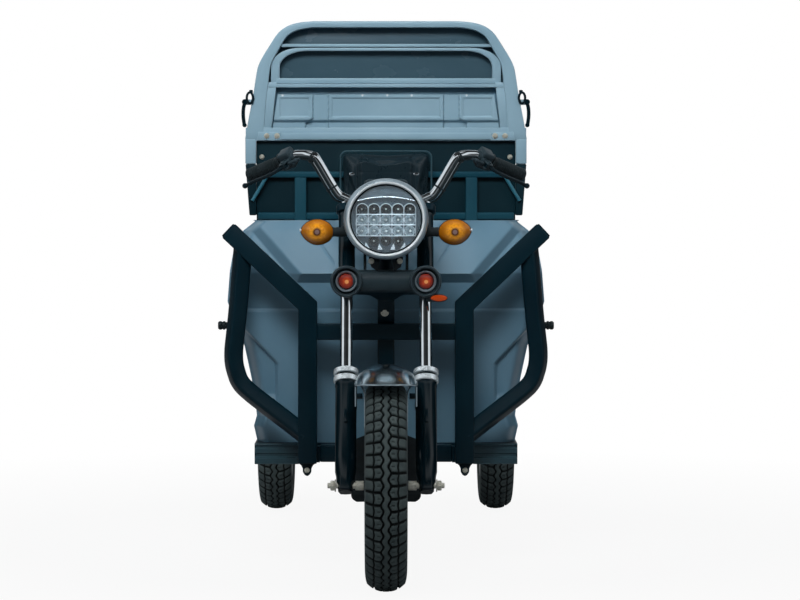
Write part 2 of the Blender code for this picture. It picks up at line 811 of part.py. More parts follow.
# Lamps
def headlight_shell(carried):
    """The lamp's bowl, open in front, with the pins it tilts on."""
    front = HEADLIGHT_PIVOT - 0.035
    profile = [
        (front + 0.118, 0),
        (front + 0.110, 0.040),
        (front + 0.085, 0.068),
        (front + 0.050, 0.084),
        (front, SHELL_RADIUS),
        (front, SHELL_RADIUS - 0.0025),
        (front + 0.048, 0.0815),
        (front + 0.082, 0.066),
        (front + 0.106, 0.039),
        (front + 0.114, 0),
    ]
    bowl = turned(profile, "Y", (0, 0, HEADLIGHT_HEIGHT), WHEEL_SIDES)
    pins = []
    for side in (-1, 1):
        ends = sorted((side * (SHELL_RADIUS - 0.006), side * (EAR_INSIDE + EAR_PLATE)))
        pivot = (0, HEADLIGHT_PIVOT, HEADLIGHT_HEIGHT)
        pins.append(rod(TRUNNION_RADIUS, "X", pivot, *ends))
    named(joined(bowl, *pins), "headlight_shell", "black", carried)


def headlight_rim(carried):
    seat = HEADLIGHT_PIVOT - 0.035 - GAP
    profile = [
        (seat, LENS_RADIUS - 0.006),
        (seat, SHELL_RADIUS + 0.0006),
        (seat + 0.010, SHELL_RADIUS + 0.0006),
        (seat + 0.010, HEADLIGHT_RADIUS - 0.003),
        (seat - 0.012, HEADLIGHT_RADIUS),
        (seat - 0.024, HEADLIGHT_RADIUS - 0.002),
        (seat - 0.028, HEADLIGHT_RADIUS - 0.009),
        (seat - 0.024, LENS_RADIUS + GAP),
        (seat - 0.015, LENS_RADIUS + GAP),
        (seat - 0.015, LENS_RADIUS - 0.006),
    ]
    ring = turned(profile, "Y", (0, 0, HEADLIGHT_HEIGHT), WHEEL_SIDES)
    named(ring, "headlight_rim", "chrome", carried)


def headlight_lens(carried):
    back = HEADLIGHT_PIVOT - 0.035 - 2 * GAP - 0.015
    profile = [
        (back, 0),
        (back, LENS_RADIUS),
        (back - 0.004, LENS_RADIUS),
        (back - 0.011, 0.070),
        (back - 0.018, 0.040),
        (back - 0.021, 0),
    ]
    glass = turned(profile, "Y", (0, 0, HEADLIGHT_HEIGHT), WHEEL_SIDES)
    named(glass, "headlight_lens", "lens", carried)


def signal(side, carried):
    """A turn signal: an egg-shaped lamp on a stalk from the ear."""
    profile = [
        (-0.022, 0),
        (-0.017, 0.019),
        (-0.007, 0.034),
        (0.000, 0.039),
        (0.012, 0.034),
        (0.028, 0.018),
        (0.034, 0),
    ]
    lamp = turned(profile, "Y", (0, 0, 0), 18)
    moved(lamp, Matrix.Scale(0.78, 4, (0, 0, 1)))
    place = Vector((side * SIGNAL_ACROSS, HEADLIGHT_PIVOT, SIGNAL_HEIGHT))
    moved(lamp, Matrix.Translation(place))
    root = EAR_INSIDE + EAR_PLATE + GAP
    stalk_ends = sorted((side * root, side * (SIGNAL_ACROSS - 0.020)))
    stalk = rod(0.009, "X", (0, HEADLIGHT_PIVOT + 0.010, SIGNAL_HEIGHT), *stalk_ends, 12)
    named(joined(lamp, stalk), f"signal_{side_name(side)}", "amber", carried)


# Front frame and body
def front_frame(carried):
    """The head tube, the neck down from it and the two cross tubes, welded together."""
    low = YOKE_TOP + GAP
    high = UPPER_CLAMP - GAP
    bore = bored(STEM_RADIUS)
    room = HEAD_TUBE_RADIUS - HEAD_TUBE_WALL
    profile = [
        (low, HEAD_TUBE_RADIUS),
        (high, HEAD_TUBE_RADIUS),
        (high, bore),
        (high - BEARING_HEIGHT, bore),
        (high - BEARING_HEIGHT, room),
        (low + BEARING_HEIGHT, room),
        (low + BEARING_HEIGHT, bore),
        (low, bore),
    ]
    head = leaned(turned(profile, "Z", (0, 0, 0)))
    wall = HEAD_TUBE_RADIUS - HEAD_TUBE_WALL / 2
    weld_low = STEERING @ Vector((0, wall, low + 0.045))
    weld_high = STEERING @ Vector((0, wall, high - 0.012))
    outline = [
        (weld_low.y, weld_low.z),
        (weld_high.y, weld_high.z),
        (NECK_BACK, 0.690),
        (NECK_BACK, RAIL_LOW),
        (NECK_BACK - 0.050, RAIL_LOW),
        (NECK_BACK - 0.050, 0.630),
    ]
    neck = prism(outline, "X", -NECK_WIDTH / 2, NECK_WIDTH / 2)
    between_posts = POST_ACROSS - TUBE / 2 - GAP
    bar = block(
        (-between_posts, between_posts), (POST_BACK - 0.042, POST_BACK), (0.580, 0.615)
    )
    between_rails = RAIL_ACROSS - RAIL_WIDTH / 2 - GAP
    foot = block(
        (-between_rails, between_rails),
        (NECK_BACK - 0.046, NECK_BACK - 0.003),
        (RAIL_LOW + 0.001, RAIL_TOP - 0.001),
    )
    named(joined(head, neck, bar, foot), "front_frame", "black", carried)


def crash_bar(side, carried):
    """The square-tube guard: a post and a rising arm, with a loop outside them."""
    middle = POST_BACK - TUBE / 2
    arm = [
        (side * POST_ACROSS, middle, POST_FOOT),
        (side * POST_ACROSS, middle, POST_TOP),
        (side * 0.393, middle + 0.020, 0.846),
    ]
    loop = [
        (side * 0.3520, middle + 0.018, 0.805),
        (side * 0.3775, middle + 0.018, 0.562),
        (side * 0.3775, middle + 0.018, 0.528),
        (side * 0.3700, middle + 0.018, 0.492),
        (side * 0.3537, middle + 0.016, 0.461),
        (side * (POST_ACROSS + 0.005), middle, 0.340),
    ]
    guard = swept(arm, rectangle(TUBE, TUBE), (1, 0, 0))
    outside = swept(loop, rectangle(TUBE - 0.002, TUBE - 0.004), (1, 0, 0))
    bar = joined(guard, outside)
    named(bar, f"crash_bar_{side_name(side)}", "black", carried)


def rail(side, carried):
    """A chassis rail that kicks up behind the seat, with forked hangers for the leaf spring."""
    outline = [
        (POST_BACK + GAP, RAIL_LOW),
        (FLOOR_END + 0.035, RAIL_LOW),
        (FLOOR_END + 0.195, RAIL_HIGH),
    ]
    for end in (-1, 1):
        eye = WHEELBASE + end * SPRING_HALF_LENGTH
        outline += [
            (eye - 0.035, RAIL_HIGH),
            (eye - 0.018, SPRING_EYE_HEIGHT - 0.018),
            (eye + 0.018, SPRING_EYE_HEIGHT - 0.018),
            (eye + 0.035, RAIL_HIGH),
        ]
    outline += [
        (BED_END - 0.020, RAIL_HIGH),
        (BED_END - 0.020, RAIL_HIGH + RAIL_HEIGHT),
        (FLOOR_END + 0.180, RAIL_HIGH + RAIL_HEIGHT),
        (FLOOR_END + 0.015, RAIL_TOP),
        (POST_BACK + GAP, RAIL_TOP),
    ]
    centre = side * RAIL_ACROSS
    beam = prism(outline, "X", centre - RAIL_WIDTH / 2, centre + RAIL_WIDTH / 2)
    slots = []
    pins = []
    for end in (-1, 1):
        eye = WHEELBASE + end * SPRING_HALF_LENGTH
        half = SPRING_WIDTH / 2 + GAP
        slots.append(
            block(
                (centre - half, centre + half),
                (eye - 0.050, eye + 0.050),
                (SPRING_EYE_HEIGHT - 0.050, SPRING_EYE_HEIGHT + 0.030),
            )
        )
        place = (centre, eye, SPRING_EYE_HEIGHT)
        pins.append(rod(EYE_PIN_RADIUS, "X", place, 0.002 - RAIL_WIDTH / 2, RAIL_WIDTH / 2 - 0.002, 12))
    beam = joined(cut(beam, *slots), *pins)
    named(beam, f"rail_{side_name(side)}", "black", carried)


def rear_cross_member(carried):
    between = RAIL_ACROSS - RAIL_WIDTH / 2 - GAP
    beam = block(
        (-between, between), (BED_END - 0.070, BED_END - 0.030), (RAIL_HIGH, RAIL_HIGH + RAIL_HEIGHT)
    )
    named(beam, "rear_cross_member", "black", carried)


def tail_lamp(carried):
    front = BED_END - 0.030 + GAP
    lamp = block((-0.140, 0.140), (front, front + 0.025), (RAIL_HIGH - 0.020, RAIL_HIGH + 0.030))
    named(lamp, "tail_lamp", "red", carried)


def leg_shield(carried):
    """The folded sheet behind the crash bars: upright below, leaning back to a flange on top."""
    front = NECK_BACK + GAP
    rows = [
        (FLOOR_TOP + GAP, SHIELD_HALF - 0.0745, front),
        (0.352, SHIELD_HALF - 0.066, front),
        (0.378, SHIELD_HALF - 0.0735, front),
        (0.401, SHIELD_HALF - 0.071, front),
        (0.473, SHIELD_HALF - 0.0595, front),
        (0.556, SHIELD_HALF - 0.042, front),
        (0.612, SHIELD_HALF - 0.016, front),
        (0.668, SHIELD_HALF, front),
        (0.745, SHIELD_HALF - 0.006, front),
        (0.795, SHIELD_HALF - 0.014, front + 0.010),
        (0.845, SHIELD_HALF - 0.038, front + 0.033),
        (SHIELD_TOP, SHIELD_HALF - 0.068, front + 0.067),
        (SHIELD_TOP + 0.002, SHIELD_HALF - 0.070, front + 0.160),
    ]
    right = [(0.58, 0), (0.93, 0.020), (1, 0.055), (1, 0.150)]
    columns = [(-share, back) for share, back in reversed(right)] + [(0, 0)] + right
    build = bmesh.new()
    grid = []
    for height, half, back in rows:
        line = [build.verts.new((share * half, back + more, height)) for share, more in columns]
        grid.append(line)
    for i in range(len(grid) - 1):
        for j in range(len(columns) - 1):
            build.faces.new((grid[i][j], grid[i][j + 1], grid[i + 1][j + 1], grid[i + 1][j]))
    mesh = bpy.data.meshes.new("shield")
    build.to_mesh(mesh)
    build.free()
    sheet = bpy.data.objects.new("shield", mesh)
    bpy.context.scene.collection.objects.link(sheet)
    wall = sheet.modifiers.new("Solidify", "SOLIDIFY")
    wall.thickness = SHIELD_WALL
    wall.offset = -1
    named(combined(sheet, [], "UNION"), "leg_shield", "paint", carried)


def footboard(carried):
    """The floor plate with its turned-down edges and the brake pedal's bracket."""
    front = NECK_BACK + 0.005
    plate = block((-FLOOR_HALF, FLOOR_HALF), (front, FLOOR_END), (RAIL_TOP + GAP, FLOOR_TOP))
    parts = []
    skirt = (FLOOR_TOP - SKIRT, FLOOR_TOP - 0.001)
    for side in (-1, 1):
        outer = sorted((side * FLOOR_HALF, side * (FLOOR_HALF - SHEET)))
        parts.append(block(outer, (front, FLOOR_END), skirt))
        clear = RAIL_ACROSS + RAIL_WIDTH / 2 + 0.004
        ends = sorted((side * clear, side * (FLOOR_HALF - 0.001)))
        parts.append(block(ends, (front, front + SHEET), skirt))
        cheek = PEDAL_WIDTH / 2 + GAP
        across = sorted((PEDAL_ACROSS + side * cheek, PEDAL_ACROSS + side * (cheek + SHEET)))
        parts.append(
            block(across, (PEDAL_BACK - 0.012, PEDAL_BACK + 0.012), (FLOOR_TOP - 0.001, PEDAL_HEIGHT + 0.010))
        )
    half = PEDAL_WIDTH / 2 + GAP + SHEET / 2
    parts.append(rod(0.004, "X", (PEDAL_ACROSS, PEDAL_BACK, PEDAL_HEIGHT), -half, half, 12))
    named(joined(plate, *parts), "footboard", "black", carried)


def brake_pedal(carried):
    """A pedal arm turning on the floor bracket's pin, with its tread forward."""
    half = PEDAL_WIDTH / 2
    across = (PEDAL_ACROSS - half + 0.001, PEDAL_ACROSS + half - 0.001)
    y = PEDAL_BACK
    z = PEDAL_HEIGHT
    outline = [(y + 0.004, z - 0.006), (y + 0.004, z + 0.006), (y - 0.075, z + 0.062), (y - 0.083, z + 0.052)]
    arm = prism(outline, "X", *across)
    hub = rod(0.010, "X", (PEDAL_ACROSS, y, z), -half, half, 16)
    tread_outline = [
        (y - 0.105, z + 0.046),
        (y - 0.055, z + 0.066),
        (y - 0.059, z + 0.076),
        (y - 0.109, z + 0.056),
    ]
    tread = prism(tread_outline, "X", PEDAL_ACROSS - 0.030, PEDAL_ACROSS + 0.030)
    hole = rod(bored(0.004, 12), "X", (PEDAL_ACROSS, y, z), -0.02, 0.02, 12)
    named(cut(joined(arm, hub, tread), hole), "brake_pedal", "rubber", carried)


# Hinges with a pin along X, held by two lugs
def hinge_tube(half, place, radius):
    return rod(radius, "X", place, -half, half, 16)


def hinge_bore(half, place):
    return rod(bored(PIN_RADIUS, 12), "X", place, -half - 0.01, half + 0.01, 12)


def hinge_pin(half, place):
    return rod(PIN_RADIUS, "X", place, -half - 0.004, half + 0.004, 12)


# Seat
def seat_box(carried):
    """The steel box under the seat, open on top, with the seat hinge's lugs and pin."""
    walls = block(
        (-SEAT_BOX_HALF, SEAT_BOX_HALF), (SEAT_BOX_FRONT, FLOOR_END), (FLOOR_TOP + GAP, SEAT_HEIGHT)
    )
    inside = block(
        (SHEET - SEAT_BOX_HALF, SEAT_BOX_HALF - SHEET),
        (SEAT_BOX_FRONT + SHEET, FLOOR_END - SHEET),
        (FLOOR_TOP + GAP + SHEET, SEAT_HEIGHT + 0.01),
    )
    walls = cut(walls, inside)
    y, z = SEAT_PIVOT
    outline = [
        (y - 0.006, z - 0.013),
        (SEAT_BOX_FRONT + 0.002, z - 0.013),
        (SEAT_BOX_FRONT + 0.002, SEAT_HEIGHT - GAP),
        (y + 0.0027, SEAT_HEIGHT - GAP),
        (y + 0.0027, z + 0.006),
        (y - 0.006, z + 0.006),
    ]
    parts = [hinge_pin(SEAT_HINGE_HALF, (0, y, z))]
    for side in (-1, 1):
        across = sorted((side * (SEAT_HINGE_HALF + GAP), side * (SEAT_HINGE_HALF + 0.008)))
        parts.append(prism(outline, "X", *across))
    named(joined(walls, *parts), "seat_box", "dark_paint", carried)


def battery_pack(carried):
    floor = FLOOR_TOP + SHEET + 2 * GAP
    depth = (SEAT_BOX_FRONT + 0.015, FLOOR_END - 0.015)
    pack = block((-0.135, 0.135), depth, (floor, floor + BATTERY_HEIGHT))
    named(pack, "battery_pack", "plastic", carried)


def seat_base(carried):
    """The seat's pan, with the hinge tube along its front edge."""
    y, z = SEAT_PIVOT
    low = SEAT_HEIGHT + GAP
    heights = (low, low + SHEET)
    pan = block((-SEAT_BOX_HALF, SEAT_BOX_HALF), (y + 0.0105, FLOOR_END), heights)
    tongue = block(
        (0.001 - SEAT_HINGE_HALF, SEAT_HINGE_HALF - 0.001),
        (y + 0.002, y + 0.020),
        (low + 0.0002, low + SHEET - 0.0002),
    )
    tube = hinge_tube(SEAT_HINGE_HALF, (0, y, z), 0.006)
    pan = cut(joined(pan, tongue, tube), hinge_bore(SEAT_HINGE_HALF, (0, y, z)))
    named(pan, "seat_base", "black", carried)


def soft_block(x, y, z, radius):
    """A box with rounded edges."""
    made = block(x, y, z)
    bevel = made.modifiers.new("Bevel", "BEVEL")
    bevel.width = radius
    bevel.segments = 2
    return combined(made, [], "UNION")


def seat_cushion(carried):
    low = SEAT_HEIGHT + 2 * GAP + SHEET
    depth = (SEAT_PIVOT[0] + 0.012, FLOOR_END - 0.002)
    pad = soft_block((-0.158, 0.158), depth, (low, low + CUSHION_HEIGHT), 0.015)
    named(pad, "seat_cushion", "leather", carried)


def backrest(carried):
    back = BED_FRONT - WALL_RAIL_DEPTH - GAP
    pad = soft_block(
        (-BACKREST_HALF, BACKREST_HALF), (back - 0.050, back), (BACKREST_FOOT, BACKREST_TOP), 0.012
    )
    named(pad, "backrest", "leather", carried)


# Cargo bed
def cargo_front_wall(carried):
    """The bed's front sheet with its two ribs and two rails."""
    sheet = block(
        (-BED_HALF, BED_HALF), (BED_FRONT, BED_FRONT + SHEET), (BED_FLOOR, FRONT_WALL_TOP)
    )
    parts = []
    for side in (-1, 1):
        across = (side * RIB_ACROSS - 0.0225, side * RIB_ACROSS + 0.0225)
        depth = (BED_FRONT - RIB_DEPTH, BED_FRONT + 0.001)
        parts.append(block(across, depth, (BED_FLOOR + 0.010, FRONT_WALL_TOP - 0.060)))
    for low, high in ((0.880, 0.903), (1.000, 1.019)):
        depth = (BED_FRONT - WALL_RAIL_DEPTH, BED_FRONT + 0.001)
        parts.append(block((0.004 - BED_HALF, BED_HALF - 0.004), depth, (low, high)))
    named(joined(sheet, *parts), "cargo_front_wall", "dark_paint", carried)


def cargo_tub(carried):
    """The floor and the two side walls, with the tailgate's lugs and pin."""
    wall = BED_HALF - SHEET
    lip = BED_HALF - 0.018
    right = [
        (BED_HALF, BED_FLOOR),
        (BED_HALF, BED_WALL_TOP),
        (lip, BED_WALL_TOP),
        (lip, BED_WALL_TOP - 0.020),
        (wall, BED_WALL_TOP - 0.020),
        (wall, BED_FLOOR + SHEET),
    ]
    outline = right + [(-x, z) for x, z in reversed(right)]
    tub = prism(outline, "Y", BED_FRONT + SHEET + GAP, BED_END)
    y, z = GATE_PIVOT
    parts = [hinge_pin(GATE_HINGE_HALF, (0, y, z))]
    for side in (-1, 1):
        across = sorted((side * (GATE_HINGE_HALF + GAP), side * (GATE_HINGE_HALF + 0.012)))
        parts.append(block(across, (BED_END - 0.020, y + 0.007), (BED_FLOOR + 0.0004, z + 0.0065)))
    named(joined(tub, *parts), "cargo_tub", "paint", carried)


def tailgate(carried):
    """The rear gate, hinged along its foot, with a stiffening rib."""
    y, z = GATE_PIVOT
    front = BED_END + 0.0045
    top = BED_WALL_TOP
    sheet = block((SHEET - BED_HALF, BED_HALF - SHEET), (front, front + SHEET), (z + 0.010, top))
    tongue = block(
        (0.001 - GATE_HINGE_HALF, GATE_HINGE_HALF - 0.001),
        (front, front + SHEET - 0.0002),
        (z + 0.001, z + 0.020),
    )
    tube = hinge_tube(GATE_HINGE_HALF, (0, y, z), HINGE_RADIUS)
    depth = (front + 0.002, front + 0.014)
    rib = block((0.040 - BED_HALF, BED_HALF - 0.040), depth, (0.760, 0.785))
    cap = block((0.004 - BED_HALF, BED_HALF - 0.004), depth, (top - 0.020, top - 0.001))
    gate = joined(sheet, tongue, tube, rib, cap)
    named(cut(gate, hinge_bore(GATE_HINGE_HALF, (0, y, z))), "tailgate", "paint", carried)


# Guard frame
def both_ways(reach):
    return (-reach, reach)


def hoop_outside():
    """The hoop's outer edge on one side, from its foot to its straight top."""
    rows = [
        (0.0310, 1.0870),
        (0.0205, 1.1470),
        (0.0085, 1.2080),
        (-0.0010, 1.2690),
        (-0.0072, 1.2925),
        (-0.0195, 1.3165),
        (-0.0370, 1.3445),
        (-0.0532, 1.3697),
        (-0.0683, 1.3862),
        (-0.0905, 1.3996),
        (-0.1200, 1.4075),
        (-0.1574, 1.4110),
    ]
    return [(BED_HALF + outside, z) for outside, z in rows]


def hoop_inside():
    """The hoop's inner edge on one side, from its foot to its straight top."""
    rows = [
        (0.0060, 1.0870),
        (-0.0045, 1.1470),
        (-0.0190, 1.2080),
        (-0.0295, 1.2302),
        (-0.0370, 1.2806),
        (-0.0444, 1.3028),
        (-0.0622, 1.3341),
        (-0.0787, 1.3623),
        (-0.0918, 1.3757),
        (-0.1127, 1.3862),
        (-0.1425, 1.3925),
        (-0.1600, 1.3936),
    ]
    return [(BED_HALF + outside, z) for outside, z in rows]


def gantry_frame(carried):
    """The hooped guard frame with its rails, its side plates and the legs outside the bed's walls."""
    middle = (HOOP_FRONT + HOOP_BACK) / 2
    depth = (HOOP_FRONT, HOOP_BACK)
    right = hoop_outside()
    outline = right + [(-x, z) for x, z in reversed(right)]
    right = hoop_inside()
    outline += [(-x, z) for x, z in right] + list(reversed(right))
    hoop = prism(outline, "Y", *depth)
    inset = (HOOP_FRONT + 0.001, HOOP_BACK - 0.001)
    slim = (HOOP_FRONT + 0.005, HOOP_BACK - 0.005)
    leg_out = BED_HALF + 0.030
    rails = [
        block(both_ways(BED_HALF + 0.029), inset, (FRONT_WALL_TOP + GAP, PANEL_FOOT)),
        block(both_ways(BED_HALF - 0.023), inset, (PANEL_HEAD, PANEL_HEAD + 0.025)),
        block(both_ways(BED_HALF - 0.060), slim, CROSSBAR),
    ]
    for side in (-1, 1):
        leg = [
            (BED_HALF + GAP, BED_FLOOR + 0.295),
            (BED_HALF + 0.011, BED_FLOOR + 0.295),
            (leg_out, 1.010),
            (leg_out, 1.0895),
            (BED_HALF + GAP, 1.0895),
        ]
        plate = [
            (PANEL_HALF + GAP, PANEL_FOOT - 0.004),
            (BED_HALF + 0.015, PANEL_FOOT - 0.004),
            (BED_HALF - 0.005, 1.200),
            (BED_HALF - 0.022, 1.245),
            (PANEL_HALF + GAP, 1.245),
        ]
        rails.append(prism([(side * x, z) for x, z in leg], "Y", *depth))
        rails.append(prism([(side * x, z) for x, z in plate], "Y", middle - 0.003, middle + 0.012))
        x, z = LATCH_PIVOT
        for way in (-1, 1):
            near = LATCH_WIDTH / 2 + GAP
            cheek = sorted((middle + way * near, middle + way * (near + SHEET)))
            across = sorted((side * (x - 0.036), side * (x + 0.007)))
            rails.append(block(across, cheek, (z - 0.008, z + 0.008)))
        half = LATCH_WIDTH / 2 + GAP + SHEET / 2
        rails.append(rod(PIN_RADIUS, "Y", (side * x, middle, z), -half, half, 12))
    frame = hoop
    for extra in rails:
        frame = joined(frame, extra)
    named(frame, "gantry_frame", "paint", carried)


def gantry_panel(carried):
    middle = (HOOP_FRONT + HOOP_BACK) / 2
    panel = block(
        (-PANEL_HALF, PANEL_HALF), (middle + 0.001, middle + 0.004), (PANEL_FOOT + GAP, PANEL_HEAD - GAP)
    )
    named(panel, "gantry_panel", "paint", carried)


def gantry_window(carried):
    """The dark pane behind the hoop, cut to its outline."""
    edge = 0.008
    right = [(x + edge, z + edge) for x, z in hoop_inside() if z > PANEL_HEAD + edge]
    right = [(right[0][0], PANEL_HEAD + 0.005)] + right
    outline = right + [(-x, z) for x, z in reversed(right)]
    pane = prism(outline, "Y", HOOP_BACK + GAP, HOOP_BACK + GAP + SHEET)
    named(pane, "gantry_window", "dark_paint", carried)


def latch(side, carried):
    """The toggle lever hanging outside the hoop."""
    x, z = LATCH_PIVOT
    middle = (HOOP_FRONT + HOOP_BACK) / 2
    path = [(x, z), (x + 0.008, z - 0.022), (x + 0.010, z - 0.044), (x + 0.004, z - 0.066)]
    path = [(side * a, middle, b) for a, b in path]
    lever = swept(path, rectangle(0.008, LATCH_WIDTH - 0.001), (1, 0, 0))
    hub = rod(0.007, "Y", (side * x, middle, z), -LATCH_WIDTH / 2, LATCH_WIDTH / 2, 16)
    hole = rod(bored(PIN_RADIUS, 12), "Y", (side * x, middle, z), -0.02, 0.02, 12)
    named(cut(joined(lever, hub), hole), f"latch_{side_name(side)}", "rubber", carried)


# Rear axle and springs
def leaf_top(along):
    """The height of the top leaf, counted along from over the axle."""
    share = along / SPRING_HALF_LENGTH
    return SPRING_EYE_HEIGHT - SPRING_SAG * (1 - share * share)


def leaf_spring(side, carried):
    """Three leaves in one pack, bowed down to the axle, with an eye at each end."""
    steps = 6
    reach = SPRING_HALF_LENGTH
    alongs = [reach * i / steps for i in range(-steps, steps + 1)]
    upper = [(WHEELBASE + a, leaf_top(a)) for a in alongs]
    lower = [(1, 1), (0.73, 1), (0.73, 2), (0.40, 2), (0.40, 3)]
    lower = [(share * reach, leaves) for share, leaves in lower] + [(SPRING_SEAT, 3)]
    lower = lower + [(-a, leaves) for a, leaves in reversed(lower)]
    under = [(WHEELBASE + a, leaf_top(a) - leaves * LEAF) for a, leaves in lower]
    centre = side * RAIL_ACROSS
    pack = prism(upper + under, "X", centre - SPRING_WIDTH / 2, centre + SPRING_WIDTH / 2)
    eyes = []
    holes = []
    for end in (-1, 1):
        place = (centre, WHEELBASE + end * reach, SPRING_EYE_HEIGHT)
        half = SPRING_WIDTH / 2 - 0.0002
        eyes.append(rod(EYE_PIN_RADIUS + 0.006, "X", place, -half, half, 16))
        holes.append(rod(bored(EYE_PIN_RADIUS, 12), "X", place, -0.05, 0.05, 12))
    named(cut(joined(pack, *eyes), *holes), f"leaf_spring_{side_name(side)}", "black", carried)


def rear_axle(carried):
    """The axle tube with the differential, brake backplates, spring seats and motor flange."""
    wheel_in = REAR_TRACK / 2 - REAR_HUB_HALF - GAP
    wheel_out = REAR_TRACK / 2 + REAR_HUB_HALF + GAP
    right = [
        (0.030, DIFFERENTIAL_RADIUS),
        (0.060, DIFFERENTIAL_RADIUS - 0.022),
        (0.080, AXLE_TUBE_RADIUS),
        (wheel_in - 0.018, AXLE_TUBE_RADIUS),
        (wheel_in - 0.018, 0.085),
        (wheel_in - 0.012, 0.085),
        (wheel_in - 0.012, 0.018),
        (wheel_in, 0.018),
        (wheel_in, STUB_RADIUS),
        (wheel_out, STUB_RADIUS),
        (wheel_out, 0.017),
        (wheel_out + 0.009, 0.017),
        (wheel_out + 0.009, 0),
    ]
    left = [(-x, r) for x, r in reversed(right)]
    beam = turned(left + right, "X", (0, WHEELBASE, WHEEL_RADIUS))
    parts = []
    for side in (-1, 1):
        centre = side * RAIL_ACROSS
        across = (centre - SPRING_WIDTH / 2 - 0.004, centre + SPRING_WIDTH / 2 + 0.004)
        depth = (WHEELBASE + 0.005 - SPRING_SEAT, WHEELBASE - 0.005 + SPRING_SEAT)
        seat = leaf_top(SPRING_SEAT) - 3 * LEAF - GAP
        parts.append(block(across, depth, (WHEEL_RADIUS, seat)))
    across = (MOTOR_END + GAP, MOTOR_END + 0.008)
    heights = (WHEEL_RADIUS - 0.030, WHEEL_RADIUS + 0.050)
    parts.append(block(across, (MOTOR_BACK - 0.050, WHEELBASE), heights))
    named(joined(beam, *parts), "rear_axle", "black", carried)


def drive_motor(carried):
    place = (0, MOTOR_BACK, WHEEL_RADIUS + 0.020)
    motor = rod(MOTOR_RADIUS, "X", place, MOTOR_END - 0.140, MOTOR_END, 24)
    named(motor, "drive_motor", "steel", carried)


def main():
    clear_scene()
    chassis = carrier("chassis", Matrix.Identity(4))
    steering = carrier("steering_axis", STEERING, chassis)
    sliding = carrier("fork_slide_axis", STEERING, steering)
    front_hub = carrier("front_wheel_axis", Matrix.Translation(FRONT_HUB), sliding)
    pivot = Vector((0, HEADLIGHT_PIVOT, HEADLIGHT_HEIGHT))
    tilting = carrier("headlight_axis", Matrix.Translation(pivot), steering)
    key_place = Vector((KEY_PLACE[0], KEY_PLACE[1], RISER_TOP + INSTRUMENT_HEIGHT))
    key_axis = carrier("key_axis", STEERING @ Matrix.Translation(key_place), steering)
    throttle_axis = carrier("throttle_axis", grip_frame(-1), steering)
    button_place = Vector((BUTTON_PLACE[0], -POD_DEPTH / 2, BUTTON_PLACE[1]))
    button_axis = carrier("button_axis", grip_frame(1) @ Matrix.Translation(button_place), steering)

    for side in (-1, 1):
        lever_place = Matrix.Translation(Vector((LEVER_PIVOT[0], LEVER_PIVOT[1], 0)))
        name = f"lever_axis_{side_name(side)}"
        lever_axis = carrier(name, grip_frame(side) @ lever_place, steering)
        stanchion(side, steering)
        fork_ear(side, steering)
        signal(side, steering)
        switch_pod(side, steering)
        brake_lever(side, lever_axis)
        fork_leg(side, sliding)
    lower_clamp(steering)
    upper_clamp(steering)
    fork_cover(steering)
    handlebar(steering)
    instrument(steering)
    grip(1, "grip_left", steering)
    grip(-1, "throttle_grip", throttle_axis)
    horn_button(button_axis)
    ignition_key(key_axis)
    headlight_shell(tilting)
    headlight_rim(tilting)
    headlight_lens(tilting)
    fender(sliding)
    mud_flap(sliding)
    front_axle(sliding)
    wheel("front", "", FRONT_HUB, FRONT_HUB_HALF, AXLE_RADIUS, front_hub)

    front_frame(chassis)
    rear_cross_member(chassis)
    tail_lamp(chassis)
    leg_shield(chassis)
    footboard(chassis)
    seat_box(chassis)
    battery_pack(chassis)
    backrest(chassis)
    cargo_front_wall(chassis)
    cargo_tub(chassis)
    gantry_frame(chassis)
    gantry_panel(chassis)
    gantry_window(chassis)

    pedal_place = Vector((PEDAL_ACROSS, PEDAL_BACK, PEDAL_HEIGHT))
    brake_pedal(carrier("pedal_axis", Matrix.Translation(pedal_place), chassis))
    seat_axis = carrier("seat_axis", Matrix.Translation(Vector((0, *SEAT_PIVOT))), chassis)
    seat_base(seat_axis)
    seat_cushion(seat_axis)
    tailgate(carrier("gate_axis", Matrix.Translation(Vector((0, *GATE_PIVOT))), chassis))

    axle_place = Matrix.Translation(Vector((0, WHEELBASE, WHEEL_RADIUS)))
    axle = carrier("rear_axle_slide", axle_place, chassis)
    rear_axle(axle)
    drive_motor(axle)
    middle = (HOOP_FRONT + HOOP_BACK) / 2
    for side in (-1, 1):
        crash_bar(side, chassis)
        rail(side, chassis)
        leaf_spring(side, chassis)
        latch_place = Vector((side * LATCH_PIVOT[0], middle, LATCH_PIVOT[1]))
        latch(side, carrier(f"latch_axis_{side_name(side)}", Matrix.Translation(latch_place), chassis))
        centre = Vector((side * REAR_TRACK / 2, WHEELBASE, WHEEL_RADIUS))
        hub = carrier(f"rear_wheel_axis_{side_name(side)}", Matrix.Translation(centre), axle)
        wheel("rear", f"_{side_name(side)}", centre, REAR_HUB_HALF, STUB_RADIUS, hub)

    chassis.location.y = -MIDDLE


main()
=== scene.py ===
# Looks for the electric cargo tricycle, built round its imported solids.
# Shapes are made with Y counted back from the front axle and then moved to the frame's origin.
import math

import bmesh
import bpy
from mathutils import Matrix, Vector


